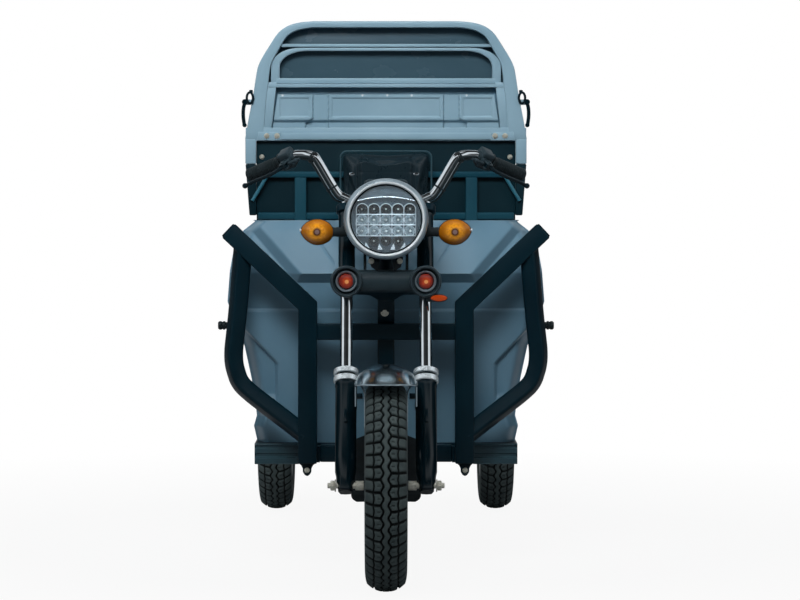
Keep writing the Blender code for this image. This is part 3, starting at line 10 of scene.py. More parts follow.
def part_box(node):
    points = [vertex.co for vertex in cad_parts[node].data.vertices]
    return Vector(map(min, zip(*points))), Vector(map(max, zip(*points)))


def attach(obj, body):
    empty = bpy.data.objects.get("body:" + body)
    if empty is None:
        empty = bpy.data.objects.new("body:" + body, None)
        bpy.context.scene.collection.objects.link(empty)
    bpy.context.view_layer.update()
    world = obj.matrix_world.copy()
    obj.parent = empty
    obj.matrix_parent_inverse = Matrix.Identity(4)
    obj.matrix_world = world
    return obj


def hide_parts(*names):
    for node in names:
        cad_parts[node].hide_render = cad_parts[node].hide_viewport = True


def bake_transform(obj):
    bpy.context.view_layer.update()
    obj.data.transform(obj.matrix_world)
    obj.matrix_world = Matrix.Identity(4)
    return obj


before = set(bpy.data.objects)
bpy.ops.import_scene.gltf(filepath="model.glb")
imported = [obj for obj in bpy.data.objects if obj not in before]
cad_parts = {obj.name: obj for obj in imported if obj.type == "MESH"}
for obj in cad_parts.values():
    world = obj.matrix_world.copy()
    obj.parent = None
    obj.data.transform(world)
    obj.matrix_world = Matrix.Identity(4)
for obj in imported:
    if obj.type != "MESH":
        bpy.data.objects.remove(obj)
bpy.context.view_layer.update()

# Places and sizes shared with the solids
MIDDLE = 1.075
WHEELBASE = 1.85
WHEEL_RADIUS = 0.25
AXLE = (0, 0, WHEEL_RADIUS)
REAR_TRACK = 0.652
RAKE = math.radians(26)
FORK_OFFSET = 0.04
FORK_HALF = 0.096
STANCHION_RADIUS = 0.015
LEG_RADIUS = 0.0255
LEG_TOP = 0.257
LEG_FLOOR = 0.032
STANCHION_FOOT = 0.087
LOWER_CLAMP = 0.498
YOKE_TOP = 0.533
UPPER_CLAMP = 0.712
UPPER_TOP = 0.732
BAR_RADIUS = 0.0115
BAR_HEIGHT = 0.765
BAR_FORWARD = 0.0126
RISER_ACROSS = 0.0375
RISER_TOP = 0.784
GRIP_START = 0.0483
GRIP_LENGTH = 0.11
LEVER_PIVOT = (0.028, 0.034, 0)
BUTTON_PLACE = (0.028, 0, 0.0125)
KEY_PLACE = (0.036, 0.018, 0)
GAUGE_PLACE = (-0.012, -0.004, 0)
HEADLIGHT_BACK = 0.2
HEADLIGHT_HEIGHT = 0.879
SIGNAL_ACROSS = 0.167
SIGNAL_HEIGHT = 0.847
COVER_FRONT = 0.165
COVER_HEIGHT = 0.728
TUBE = 0.045
SHIELD_FRONT = 0.4253
RAIL_ACROSS = 0.19
FLOOR_TOP = 0.3133
FLOOR_LOW = 0.2613
FLOOR_HALF = 0.33
FLOOR_END = 1.1
WALL_FRONT = 1.15
BED_FRONT = 1.1533
BED_END = 2.38
BED_HALF = 0.355
BED_INSIDE = 0.3515
BED_FLOOR = 0.5853
WALL_TOP = 1.0837
HOOP_FRONT = 1.135
HOOP_BACK = 1.17
FRAME_BACK = 1.166
GATE_FRONT = 2.3846
GATE_PIVOT = (0, 2.392, 0.594)
SPRING_REACH = 0.3
SPRING_SEAT = 0.05
SPRING_STEPS = 10
GAP = 0.0003

# The photograph's frame, in pixels, and the camera's place in metres
FRAME_WIDTH = 800
FRAME_HEIGHT = 600
FOCAL = 2968
CENTRE_X = 386
HORIZON = 192
CAMERA_BACK = -7.0
CAMERA_HEIGHT = 0.944
SENSOR = 36.0

STEERING_FOOT = Vector((0, FORK_OFFSET * math.cos(RAKE), WHEEL_RADIUS - FORK_OFFSET * math.sin(RAKE)))
STEERING = Matrix.Translation(STEERING_FOOT) @ Matrix.Rotation(-RAKE, 4, "X")
SIDES = (-1, 1)
FAR_OFF = (0, 9, 9)


# Numbers and outlines
def word(side):
    return "left" if side > 0 else "right"


def span(side, near, far):
    """Two distances from the middle on one side, the lower first."""
    return sorted((side * near, side * far))


def around(middle, half):
    return middle - half, middle + half


def blend(low, high, share):
    return low + (high - low) * share


def step(value, low, high):
    """A smooth step from 0 at low to 1 at high."""
    share = min(1.0, max(0.0, (value - low) / (high - low)))
    return share * share * (3 - 2 * share)


def shifted(start, *profile):
    """An (along, radius) profile whose distances are counted from start."""
    return [(start + along, radius) for along, radius in profile]


def sided(side, outline):
    return [(side * x, z) for x, z in outline]


def mirrored(half):
    """The outline followed by its mirror image, back to its start."""
    return list(half) + [(-x, z) for x, z in reversed(half)]


def circle(radius, sides=20):
    turns = [2 * math.pi * i / sides for i in range(sides)]
    return [(radius * math.cos(turn), radius * math.sin(turn)) for turn in turns]


def soft_rectangle(width, height, radius, steps=4):
    """A rectangle with round corners, as (across, up) points."""
    points = []
    for quarter, (x, y) in enumerate(((1, 1), (-1, 1), (-1, -1), (1, -1))):
        for i in range(steps + 1):
            turn = math.pi / 2 * (quarter + i / steps)
            across = x * (width / 2 - radius) + radius * math.cos(turn)
            points.append((across, y * (height / 2 - radius) + radius * math.sin(turn)))
    return points


def smooth_path(points, steps):
    """Points on a smooth curve through the given ones."""
    points = [Vector(p) for p in points]
    held = [2 * points[0] - points[1]] + points + [2 * points[-1] - points[-2]]
    path = []
    for i in range(1, len(held) - 2):
        a, b, c, d = held[i - 1 : i + 3]
        for j in range(steps):
            t = j / steps
            square = t * t
            bend = (2 * a - 5 * b + 4 * c - d) * square + (3 * b - a - 3 * c + d) * square * t
            path.append(0.5 * (2 * b + (c - a) * t + bend))
    path.append(points[-1])
    return path


def smooth_outline(outline, steps=3):
    return [(p.x, p.y) for p in smooth_path([(x, z, 0) for x, z in outline], steps)]


def bent(points, radius, steps=6):
    """The path with its corners rounded."""
    points = [Vector(p) for p in points]
    path = [points[0]]
    for a, b, c in zip(points, points[1:], points[2:]):
        reach = min(radius, (a - b).length * 0.49, (c - b).length * 0.49)
        start = b + (a - b).normalized() * reach
        end = b + (c - b).normalized() * reach
        for i in range(steps + 1):
            t = i / steps
            path.append(start * (1 - t) ** 2 + b * (2 * t * (1 - t)) + end * t * t)
    path.append(points[-1])
    return path


# Meshes
def linked(mesh):
    made = bpy.data.objects.new("piece", mesh)
    bpy.context.scene.collection.objects.link(made)
    return made


def built(build):
    mesh = bpy.data.meshes.new("piece")
    build.to_mesh(mesh)
    build.free()
    return linked(mesh)


def shaped(build):
    bmesh.ops.recalc_face_normals(build, faces=build.faces)
    return built(build)


def from_rings(rings, closed_round=False):
    """A skin over closed rings of points, with its two ends capped unless it is closed round."""
    build = bmesh.new()
    rows = [[build.verts.new(point) for point in ring] for ring in rings]
    count = len(rows[0])
    last = len(rows) if closed_round else len(rows) - 1
    for i in range(last):
        here = rows[i]
        there = rows[(i + 1) % len(rows)]
        for j in range(count):
            k = (j + 1) % count
            build.faces.new((here[j], here[k], there[k], there[j]))
    if not closed_round:
        build.faces.new(rows[0])
        build.faces.new(rows[-1])
    return shaped(build)


def prism(outline, axis, low, high):
    def at(a, b, along):
        return {"X": (along, a, b), "Y": (a, along, b), "Z": (a, b, along)}[axis]

    return from_rings([[at(a, b, along) for a, b in outline] for along in (low, high)])


def turned(profile, axis, centre=(0, 0, 0), sides=40):
    """The (along, radius) profile turned about axis. Ends of no radius close at a point."""
    centre = Vector(centre)
    order = {"X": (2, 0, 1), "Y": (0, 2, 1), "Z": (0, 1, 2)}[axis]

    def at(along, radius, turn):
        flat = (radius * math.cos(turn), radius * math.sin(turn), along)
        return centre + Vector([flat[i] for i in order])

    build = bmesh.new()
    rings = []
    for along, radius in profile:
        if radius == 0:
            rings.append([build.verts.new(at(along, 0, 0))])
            continue
        turns = [2 * math.pi * i / sides for i in range(sides)]
        rings.append([build.verts.new(at(along, radius, turn)) for turn in turns])
    pairs = list(zip(rings, rings[1:]))
    if len(rings[0]) > 1:
        pairs.append((rings[-1], rings[0]))
    for here, there in pairs:
        for j in range(sides):
            k = (j + 1) % sides
            corners = [here[j % len(here)], here[k % len(here)]]
            corners += [there[k % len(there)], there[j % len(there)]]
            kept = [v for i, v in enumerate(corners) if v not in corners[:i]]
            if len(kept) > 2:
                build.faces.new(kept)
    return shaped(build)


def rod(radius, axis, centre, low, high, sides=24, edge=0.0):
    """A round bar with broken edges."""
    edge = edge or min(0.001, radius * 0.2)
    profile = [(low, 0), (low, radius - edge), (low + edge, radius)]
    profile += [(high - edge, radius), (high, radius - edge), (high, 0)]
    return turned(profile, axis, centre, sides)


def hexagon(radius, axis, centre, low, high):
    return rod(radius, axis, centre, low, high, 6, radius * 0.12)


def bolt_head(x, y, z, radius):
    """A hexagon bolt head with its washer, facing forwards."""
    washer = rod(radius * 1.55, "Y", (x, 0, z), y - 0.0012, y + 0.001, 20)
    return [washer, hexagon(radius, "Y", (x, 0, z), y - 0.006, y - 0.001)]


def swept(path, section, side=(1, 0, 0)):
    """The section, given as (across, up) points, drawn along the path with mitred corners."""
    path = [Vector(point) for point in path]
    first = (path[1] - path[0]).normalized()
    side = (Vector(side) - first * first.dot(Vector(side))).normalized()
    up = side.cross(first)
    ring = [path[0] + side * a + up * b for a, b in section]
    rings = [ring]
    for i in range(1, len(path)):
        before = (path[i] - path[i - 1]).normalized()
        after = before if i == len(path) - 1 else (path[i + 1] - path[i]).normalized()
        normal = (before + after).normalized()
        ring = [p + before * ((path[i] - p).dot(normal) / before.dot(normal)) for p in ring]
        rings.append(ring)
    return from_rings(rings)


def wire(points, radius, across=(0, 0, 1)):
    """A round wire along a closed line. Its first side is square to the line and to across."""
    rings = []
    count = len(points)
    for i in range(count):
        along = (points[(i + 1) % count] - points[i - 1]).normalized()
        side = along.cross(Vector(across))
        if side.length < 0.1:
            side = along.cross(Vector((1, 0, 0)))
        side.normalize()
        up = side.cross(along)
        rings.append([points[i] + side * a + up * b for a, b in circle(radius, 10)])
    return from_rings(rings, closed_round=True)


def sheet(rows):
    """An open sheet from rows of points."""
    build = bmesh.new()
    made = [[build.verts.new(point) for point in row] for row in rows]
    for here, there in zip(made, made[1:]):
        for j in range(len(here) - 1):
            build.faces.new((here[j], here[j + 1], there[j + 1], there[j]))
    return built(build)


def grid(up, across, at):
    """Rows of points, where at gives the point for two shares that run from 0 to 1."""
    return [[at(i / up, j / across) for j in range(across + 1)] for i in range(up + 1)]


def applied(piece, kind="", **settings):
    """The piece with its modifiers made real, and with one more if its kind is given."""
    if kind:
        change = piece.modifiers.new(kind.title(), kind)
        for name, value in settings.items():
            setattr(change, name, value)
    bpy.context.view_layer.update()
    graph = bpy.context.evaluated_depsgraph_get()
    piece.data = bpy.data.meshes.new_from_object(piece.evaluated_get(graph))
    piece.modifiers.clear()
    return piece


def thickened(piece, thickness, offset=-1):
    return applied(piece, "SOLIDIFY", thickness=thickness, offset=offset, use_even_offset=True)


def softened(piece, width, segments=2, angle=30):
    limit = math.radians(angle)
    return applied(piece, "BEVEL", width=width, segments=segments, limit_method="ANGLE", angle_limit=limit)


def plate(outline, axis, low, high, edge, segments=2, angle=30):
    """A prism with soft edges."""
    return softened(prism(outline, axis, low, high), edge, segments, angle)


def block(x, y, z, edge=0.0, segments=2, angle=30):
    corners = [(x[0], y[0]), (x[1], y[0]), (x[1], y[1]), (x[0], y[1])]
    made = prism(corners, "Z", z[0], z[1])
    return softened(made, edge, segments, angle) if edge else made


def moved(piece, matrix):
    piece.data.transform(matrix)
    return piece


def leaned(*pieces):
    """The pieces as one, leaned with the fork."""
    return moved(merged(*pieces), STEERING)


def merged(*pieces):
    """All the pieces as one object."""
    build = bmesh.new()
    for piece in pieces:
        build.from_mesh(piece.data)
        bpy.data.objects.remove(piece)
    return built(build)


def cut(base, *others):
    for other in others:
        change = base.modifiers.new("Cut", "BOOLEAN")
        change.operation = "DIFFERENCE"
        change.solver = "EXACT"
        change.object = other
    applied(base)
    for other in others:
        bpy.data.objects.remove(other)
    return base


# Materials
class Nodes:
    """Builds the nodes of a material or a world."""

    def __init__(self, holder):
        holder.use_nodes = True
        self.holder = holder
        self.tree = holder.node_tree
        self.shader = self.tree.nodes.get("Principled BSDF") or self.tree.nodes["Background"]
        self.coordinates = self.add("ShaderNodeTexCoord")
        self.place = self.coordinates.outputs["Object"]

    def add(self, kind, **values):
        node = self.tree.nodes.new(kind)
        for name, value in values.items():
            setattr(node, name, value)
        return node

    def link(self, source, target):
        self.tree.links.new(source, target)

    def fill(self, socket, value):
        """Sets a socket to a number or colour, or links it to another socket."""
        if isinstance(value, tuple):
            socket.default_value = value + (1,)
        elif isinstance(value, float):
            socket.default_value = value
        else:
            self.link(value, socket)

    def noise(self, size, detail=4.0, stretch=None):
        node = self.add("ShaderNodeTexNoise")
        node.inputs["Scale"].default_value = 1 / size
        node.inputs["Detail"].default_value = detail
        place = self.place
        if stretch:
            mapping = self.add("ShaderNodeMapping")
            mapping.inputs["Scale"].default_value = stretch
            self.link(place, mapping.inputs["Vector"])
            place = mapping.outputs["Vector"]
        self.link(place, node.inputs["Vector"])
        return node.outputs["Fac"]

    def ranged(self, source, low, high, start, end):
        node = self.add("ShaderNodeMapRange")
        for name, value in (("From Min", low), ("From Max", high), ("To Min", start), ("To Max", end)):
            node.inputs[name].default_value = value
        self.link(source, node.inputs["Value"])
        return node.outputs["Result"]

    def mixed(self, factor, first, second):
        """Two colours, or sockets of colours, mixed by a factor."""
        node = self.add("ShaderNodeMix", data_type="RGBA")
        self.link(factor, node.inputs[0])
        self.fill(node.inputs[6], first)
        self.fill(node.inputs[7], second)
        return node.outputs[2]

    def joined(self, operation, *values, clamp=False):
        node = self.add("ShaderNodeMath", operation=operation, use_clamp=clamp)
        for socket, value in zip(node.inputs, values):
            self.fill(socket, value)
        return node.outputs[0]

    def measured(self, operation, first, second=None):
        """A number worked out from one or two vectors."""
        node = self.add("ShaderNodeVectorMath", operation=operation)
        self.link(first, node.inputs[0])
        if second is not None:
            self.link(second, node.inputs[1])
        return node.outputs["Value"]

    def either(self, factor, first, second):
        """Two shaders mixed by a factor."""
        node = self.add("ShaderNodeMixShader")
        for socket, value in zip(node.inputs, (factor, first, second)):
            self.link(value, socket)
        return node.outputs[0]

    def shown(self, shader):
        output = self.tree.nodes.get("Material Output") or self.tree.nodes["World Output"]
        self.link(shader, output.inputs["Surface"])

    def edge_wear_and_highlight(self, radius):
        """How strongly a point lies on an edge, where the edge colour goes: partly wear, partly painted
        highlight.
        """
        bevel = self.add("ShaderNodeBevel", samples=4)
        bevel.inputs["Radius"].default_value = radius
        plain = self.add("ShaderNodeNewGeometry")
        dot = self.measured("DOT_PRODUCT", bevel.outputs["Normal"], plain.outputs["Normal"])
        return self.ranged(dot, 0.97, 0.75, 0, 1)

    def coloured(self, colour):
        self.link(colour, self.shader.inputs["Base Color"])

    def glossed(self, cloud, low, high):
        self.link(self.ranged(cloud, 0.3, 0.7, low, high), self.shader.inputs["Roughness"])

    def bumped(self, source, strength, distance):
        bump = self.add("ShaderNodeBump")
        bump.inputs["Strength"].default_value = strength
        bump.inputs["Distance"].default_value = distance
        self.link(source, bump.inputs["Height"])
        self.link(bump.outputs["Normal"], self.shader.inputs["Normal"])

    def sockets(self, **values):
        for name, value in values.items():
            self.shader.inputs[name.replace("_", " ")].default_value = value


def new_nodes(name):
    return Nodes(bpy.data.materials.new(name))


def finish(
    name, first, second, roughness, patch, grain=0.001, depth=0.00005, strength=0.3, spread=0.08, edge=None,
    edge_radius=0.0015, stretch=None, **sockets
):
    """A material with two tones in patches, changing gloss, a fine grain, and a lighter edge colour that is
    partly rubbed wear and partly painted highlight.
    """
    nodes = new_nodes(name)
    cloud = nodes.noise(patch, 6.0, stretch)
    colour = nodes.mixed(nodes.ranged(cloud, 0.38, 0.62, 0, 1), first, second)
    if edge:
        # The edge colour: partly rubbed wear and partly painted highlight along the edges.
        colour = nodes.mixed(nodes.edge_wear_and_highlight(edge_radius), colour, edge)
    nodes.coloured(colour)
    fine = nodes.noise(grain, 3.0, stretch)
    nodes.glossed(cloud, roughness - spread / 2, roughness + spread / 2)
    nodes.bumped(fine, strength, depth)
    nodes.sockets(**sockets)
    return nodes.holder


def leather_finish(name, colour, second, gloss, crease_strength):
    """Imitation leather: small cells with creases between them."""
    nodes = new_nodes(name)
    cells = nodes.add("ShaderNodeTexVoronoi", feature="DISTANCE_TO_EDGE")
    cells.inputs["Scale"].default_value = 420
    nodes.link(nodes.place, cells.inputs["Vector"])
    crease = nodes.ranged(cells.outputs["Distance"], 0.0, 0.12, 0, 1)
    cloud = nodes.noise(0.03, 5.0)
    nodes.coloured(nodes.mixed(cloud, colour, second))
    nodes.glossed(cloud, gloss, gloss + 0.14)
    nodes.bumped(crease, crease_strength, 0.0004)
    nodes.sockets(Specular_IOR_Level=0.4)
    return nodes.holder


def tyre_finish(name):
    """Rubber in patchy grey tones, with painted shade down in the tread's grooves and painted highlights on
    the edges of its blocks.
    """
    nodes = new_nodes(name)
    cloud = nodes.noise(0.03, 6.0)
    top = nodes.mixed(nodes.ranged(cloud, 0.38, 0.62, 0, 1), (0.05, 0.068, 0.07), (0.074, 0.096, 0.096))
    # Painted highlight along the blocks' edges.
    top = nodes.mixed(nodes.edge_wear_and_highlight(0.0012), top, (0.13, 0.155, 0.152))
    # Painted shade: the tread's grooves go nearly black with their depth.
    depth = nodes.add("ShaderNodeAttribute", attribute_name="groove")
    share = nodes.ranged(depth.outputs["Fac"], 0.15, 0.7, 0, 1)
    nodes.coloured(nodes.mixed(share, top, (0.003, 0.005, 0.0055)))
    nodes.glossed(cloud, 0.64, 0.78)
    nodes.bumped(nodes.noise(0.0008, 3.0), 0.5, 0.0002)
    nodes.sockets(Specular_IOR_Level=0.25)
    return nodes.holder


def lens_finish(name, glow, deep, core, centre=FAR_OFF, reach=0.03, pupil=None):
    """A coloured moulded lens with fine ribs, brighter in the middle and darker towards the rim, with a
    core colour round its lamp at centre.
    """
    nodes = new_nodes(name)
    cloud = nodes.noise(0.006, 3.0)
    body = nodes.mixed(nodes.ranged(cloud, 0.4, 0.6, 0, 0.5), glow, deep)
    away = nodes.add("ShaderNodeVectorMath", operation="DISTANCE")
    nodes.link(nodes.place, away.inputs[0])
    away.inputs[1].default_value = centre
    distance = away.outputs["Value"]
    # The middle is lighter than the rim: partly the dark base behind the rim, partly painted light through
    # the lens.
    body = nodes.mixed(nodes.ranged(distance, reach * 0.55, reach * 1.05, 0, 1), body, deep)
    # The core colour: a painted highlight on the spot lamps, the dark bulb behind the lens on the signals.
    body = nodes.mixed(nodes.ranged(distance, reach * 0.28, reach * 0.42, 1, 0), body, core)
    if pupil:
        body = nodes.mixed(nodes.ranged(distance, reach * 0.16, reach * 0.24, 1, 0), body, pupil)
    nodes.coloured(body)
    wave = nodes.add("ShaderNodeTexWave", bands_direction="X")
    wave.inputs["Scale"].default_value = 120
    nodes.link(nodes.place, wave.inputs["Vector"])
    nodes.bumped(wave.outputs["Fac"], 0.5, 0.0006)
    nodes.glossed(cloud, 0.06, 0.16)
    nodes.sockets(Coat_Weight=0.4, Specular_IOR_Level=0.35)
    return nodes.holder


def glass_finish(name, tint):
    """Clear glass that lets lamps shine through it."""
    nodes = new_nodes(name)
    nodes.sockets(Base_Color=tint + (1,), Transmission_Weight=1.0, IOR=1.45)
    nodes.glossed(nodes.noise(0.02, 3.0), 0.0, 0.06)
    nodes.bumped(nodes.noise(0.008, 2.0), 0.05, 0.0001)
    clear = nodes.add("ShaderNodeBsdfTransparent")
    clear.inputs["Color"].default_value = tint + (1,)
    path = nodes.add("ShaderNodeLightPath")
    nodes.shown(nodes.either(path.outputs["Is Shadow Ray"], nodes.shader.outputs[0], clear.outputs[0]))
    return nodes.holder


PAINT = finish(
    "blue_grey_paint", (0.185, 0.298, 0.372), (0.205, 0.322, 0.398), 0.36, 0.14, 0.0009, 0.00006,
    edge=(0.28, 0.4, 0.47), Coat_Weight=0.15, Coat_Roughness=0.15,
)
# Painted shade: a darker copy of the blue-grey paint for the leg shield and for the recess behind the guard
# panel, where less light falls.
SHIELD_PAINTED_SHADE = finish(
    "shield_painted_shade", (0.093, 0.188, 0.262), (0.105, 0.206, 0.284), 0.34, 0.14, 0.0009, 0.00006,
    edge=(0.2, 0.3, 0.36), Coat_Weight=0.15, Coat_Roughness=0.15,
)
# Painted shade: a near-black teal copy of the blue-grey paint for the bed's front wall, the guard frame's
# feet and its corner webs, which lie in shade.
PAINTED_SHADE = finish(
    "painted_shade_teal", (0.0022, 0.0125, 0.0185), (0.0035, 0.017, 0.024), 0.5, 0.18, depth=0.00008,
    edge=(0.008, 0.035, 0.05), Specular_IOR_Level=0.2,
)
# Painted shade: a dark teal copy of the blue-grey paint for the front wall's posts and rails, which stand
# in the shade under the guard frame.
POST_PAINTED_SHADE = finish(
    "post_painted_shade", (0.004, 0.036, 0.056), (0.006, 0.044, 0.066), 0.4, 0.1, depth=0.00008,
    edge=(0.03, 0.09, 0.12), Specular_IOR_Level=0.3,
)
BLACK, BAR_PAINT = [
    finish(
        name, (0.0006, 0.01, 0.017), (0.001, 0.013, 0.021), 0.38, 0.12, 0.0008, 0.00006,
        edge=(0.008, 0.028, 0.04), Specular_IOR_Level=level,
    )
    for name, level in (("black_blue_paint", 0.22), ("crash_bar_paint", 0.2))
]
GLOSS = finish(
    "gloss_black", (0.0008, 0.007, 0.011), (0.0014, 0.009, 0.014), 0.18, 0.06, 0.0008, 0.00004,
    edge=(0.02, 0.04, 0.05), Specular_IOR_Level=0.32,
)
CHROME = finish(
    "chrome", (0.7, 0.74, 0.77), (0.78, 0.82, 0.85), 0.07, 0.02, 0.002, 0.00003, 0.2, 0.05, Metallic=1.0,
)
# Painted reflection: the mudguard's chrome is tinted blue for the blue surroundings it reflects.
GUARD_CHROME_BLUE_REFLECTION = finish(
    "guard_chrome_painted_reflection", (0.58, 0.71, 0.78), (0.66, 0.79, 0.86), 0.2, 0.02, 0.002, 0.00003, 0.2, 0.04,
    Metallic=1.0,
)
SATIN = finish("satin_chrome", (0.62, 0.67, 0.7), (0.72, 0.76, 0.79), 0.24, 0.02, Metallic=1.0)
DULL_RIM = finish("dull_rim_metal", (0.33, 0.42, 0.48), (0.38, 0.47, 0.53), 0.36, 0.03, Metallic=0.65)
SEAL_WHITE = finish("pale_seal_metal", (0.78, 0.86, 0.9), (0.84, 0.91, 0.94), 0.28, 0.03, Metallic=0.5)
BRIGHT = finish("bright_metal", (0.8, 0.88, 0.92), (0.86, 0.93, 0.96), 0.24, 0.03, Metallic=0.35)
ZINC = finish(
    "zinc", (0.62, 0.61, 0.52), (0.76, 0.75, 0.66), 0.34, 0.006, 0.0008, 0.0001, spread=0.16, Metallic=0.65,
)
# Painted highlight: a lighter, glossier copy of the black for the footboard's front edge and the backrest's
# piping, with bright painted highlights on their beads.
EDGE_PAINTED_HIGHLIGHT = finish(
    "edge_painted_highlight", (0.016, 0.043, 0.057), (0.021, 0.053, 0.069), 0.3, 0.08, depth=0.0001,
    edge=(0.08, 0.15, 0.18), edge_radius=0.0028, Specular_IOR_Level=0.5,
)
# Painted shade and highlight: a darker copy of the blue-grey paint for the braces under the guard frame,
# where shade falls, with light painted along their edges.
BRACE_PAINTED_SHADE = finish(
    "brace_painted_shade", (0.02, 0.1, 0.145), (0.028, 0.125, 0.175), 0.3, 0.05, depth=0.0001,
    edge=(0.1, 0.25, 0.31),
)
CAST = finish(
    "cast_aluminium", (0.36, 0.37, 0.38), (0.46, 0.47, 0.48), 0.48, 0.02, 0.0012, 0.0002, 0.6, Metallic=1.0,
)
TYRE = tyre_finish("tyre_rubber")
RUBBER = finish(
    "soft_rubber", (0.006, 0.011, 0.013), (0.01, 0.016, 0.019), 0.5, 0.02, 0.0006, 0.0002, 0.5,
    edge=(0.025, 0.034, 0.038), Specular_IOR_Level=0.3,
)
PLASTIC = finish(
    "grained_plastic", (0.014, 0.026, 0.033), (0.019, 0.033, 0.041), 0.42, 0.04, 0.0011, 0.00025, 0.55,
    edge=(0.05, 0.075, 0.09), Specular_IOR_Level=0.35,
)
SMOKED = finish(
    "smoked_window", (0.037, 0.073, 0.098), (0.04, 0.078, 0.104), 0.26, 0.12, 0.05, 0.002,
    stretch=(1.0, 1.0, 1.6), Specular_IOR_Level=0.3,
)
REFLECTOR = finish(
    "reflector_chrome", (0.36, 0.45, 0.51), (0.56, 0.66, 0.72), 0.16, 0.004, 0.003, strength=0.2,
    Metallic=0.85,
)
DARKER_REFLECTOR = finish(
    "darker_reflector", (0.02, 0.033, 0.042), (0.045, 0.066, 0.08), 0.22, 0.006, 0.002, Metallic=0.6,
)
LAMP_PAN = finish("lamp_pan", (0.036, 0.074, 0.104), (0.046, 0.088, 0.122), 0.35, 0.02, Metallic=0.3)
LED = finish("led_dome", (0.34, 0.41, 0.43), (0.46, 0.53, 0.55), 0.12, 0.003, depth=0.0001, Coat_Weight=0.5)
AMBER_CAP = finish("amber_cap", (0.7, 0.16, 0.01), (0.8, 0.22, 0.015), 0.35, 0.004, 0.0006, 0.0001)
LEATHER = leather_finish("black_leather", (0.006, 0.009, 0.012), (0.011, 0.014, 0.018), 0.36, 0.35)
VINYL = leather_finish("gloss_vinyl", (0.006, 0.014, 0.019), (0.008, 0.017, 0.023), 0.24, 0.05)
GLASS = glass_finish("lamp_glass", (0.96, 0.98, 0.99))
RED_LENS = lens_finish("red_lens", (0.55, 0.02, 0.012), (0.4, 0.01, 0.008), (0.3, 0.01, 0.01), reach=0.04)
TAIL_AMBER = lens_finish("tail_amber", (0.75, 0.2, 0.01), (0.6, 0.12, 0.005), (0.7, 0.2, 0.02))
REFLECTOR_AMBER = lens_finish("reflector_lens", (0.72, 0.11, 0.008), (0.5, 0.055, 0.004), (0.7, 0.1, 0.01))


def put(piece, name, material, body, node="", slot="", sharp=34, bend=None):
    """Names a finished piece, moves it to the frame's origin, and ties it to its body.

    With bend, it is left in place and tied to no body; the bend distances are not used.
    """
    moved(piece, Matrix.Translation((0, -MIDDLE, 0)))
    piece.name = name
    piece.data.name = name
    piece.data.materials.clear()
    piece.data.materials.append(material)
    for face in piece.data.polygons:
        face.material_index = 0
    piece.data.shade_smooth()
    piece.data.set_sharp_from_angle(angle=math.radians(sharp))
    if bend:
        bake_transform(piece)
    else:
        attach(piece, body)
    if node:
        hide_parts(node)
    slot or node
    return piece


# Wheels
TREAD_PITCHES = 52
TREAD_STEPS = 12
TREAD_DEPTH = 0.007


def ramp(value, edge):
    """One inside an edge, none outside it, with a slope between."""
    return min(1.0, max(0.0, 0.5 + (edge - value) / (edge * 0.9)))


def groove(across, turn):
    """How deep the tread is cut, from 0 to 1. Across is 1 at the shoulder, turn is in pitches."""
    side = 1 if across > 0 else -1
    reach = abs(across)
    wave = math.sin(2 * math.pi * turn)
    inner = 0.19 + 0.065 * wave * side
    outer = 0.615 + 0.02 * wave * side
    cuts = [ramp(abs(reach - inner), 0.05), 0.75 * ramp(abs(reach - outer), 0.042)]
    phase = turn + 0.25 * side
    if inner < reach < outer:
        off = abs((phase % 1) - 0.5)
        cuts.append(ramp(off, 0.095))
        slit = 0.5 - off
        if abs(reach - (inner + outer) / 2) < 0.085:
            cuts.append(0.4 * ramp(slit, 0.06))
    if reach > outer:
        off = abs(((phase + 0.35 * (reach - outer)) % 1) - 0.5)
        cuts.append(ramp(off, 0.105) * min(1.0, max(0.0, (1.12 - reach) * 9)))
    return max(cuts)


def tyre():
    """A tyre round the origin with zigzag ribs and blocks, as one closed ring."""
    half = [
        (0.0375, 0.154), (0.0405, 0.166), (0.0465, 0.18), (0.0497, 0.199), (0.0492, 0.212), (0.0475, 0.223),
        (0.045, 0.231),
    ]
    crown = []
    for i in range(1, 78):
        x = 0.045 - 0.045 * i / 39
        crown.append((x, 0.25 - 0.019 * abs(x / 0.045) ** 2.4))
    outer = smooth_outline(half)
    mirror = [(-x, r) for x, r in reversed(outer)]
    inside = [(-0.028, 0.1545), (-0.036, 0.2), (0, 0.232), (0.036, 0.2), (0.028, 0.1545)]
    section = outer + crown + mirror + inside
    steps = TREAD_PITCHES * TREAD_STEPS
    rings = []
    depths = []
    for i in range(steps):
        turn = 2 * math.pi * i / steps
        ring = []
        for j, (x, radius) in enumerate(section):
            treaded = len(outer) - 3 <= j < len(outer) + len(crown) + 3
            cut_in = groove(x / 0.046, i / TREAD_STEPS) if treaded else 0.0
            radius -= TREAD_DEPTH * cut_in
            depths.append(cut_in)
            ring.append(Vector((x, radius * math.cos(turn), radius * math.sin(turn))))
        rings.append(ring)
    made = from_rings(rings, closed_round=True)
    # The groove depth is kept for the tyre's painted shade in its grooves.
    made.data.attributes.new("groove", "FLOAT", "POINT").data.foreach_set("value", depths)
    return made


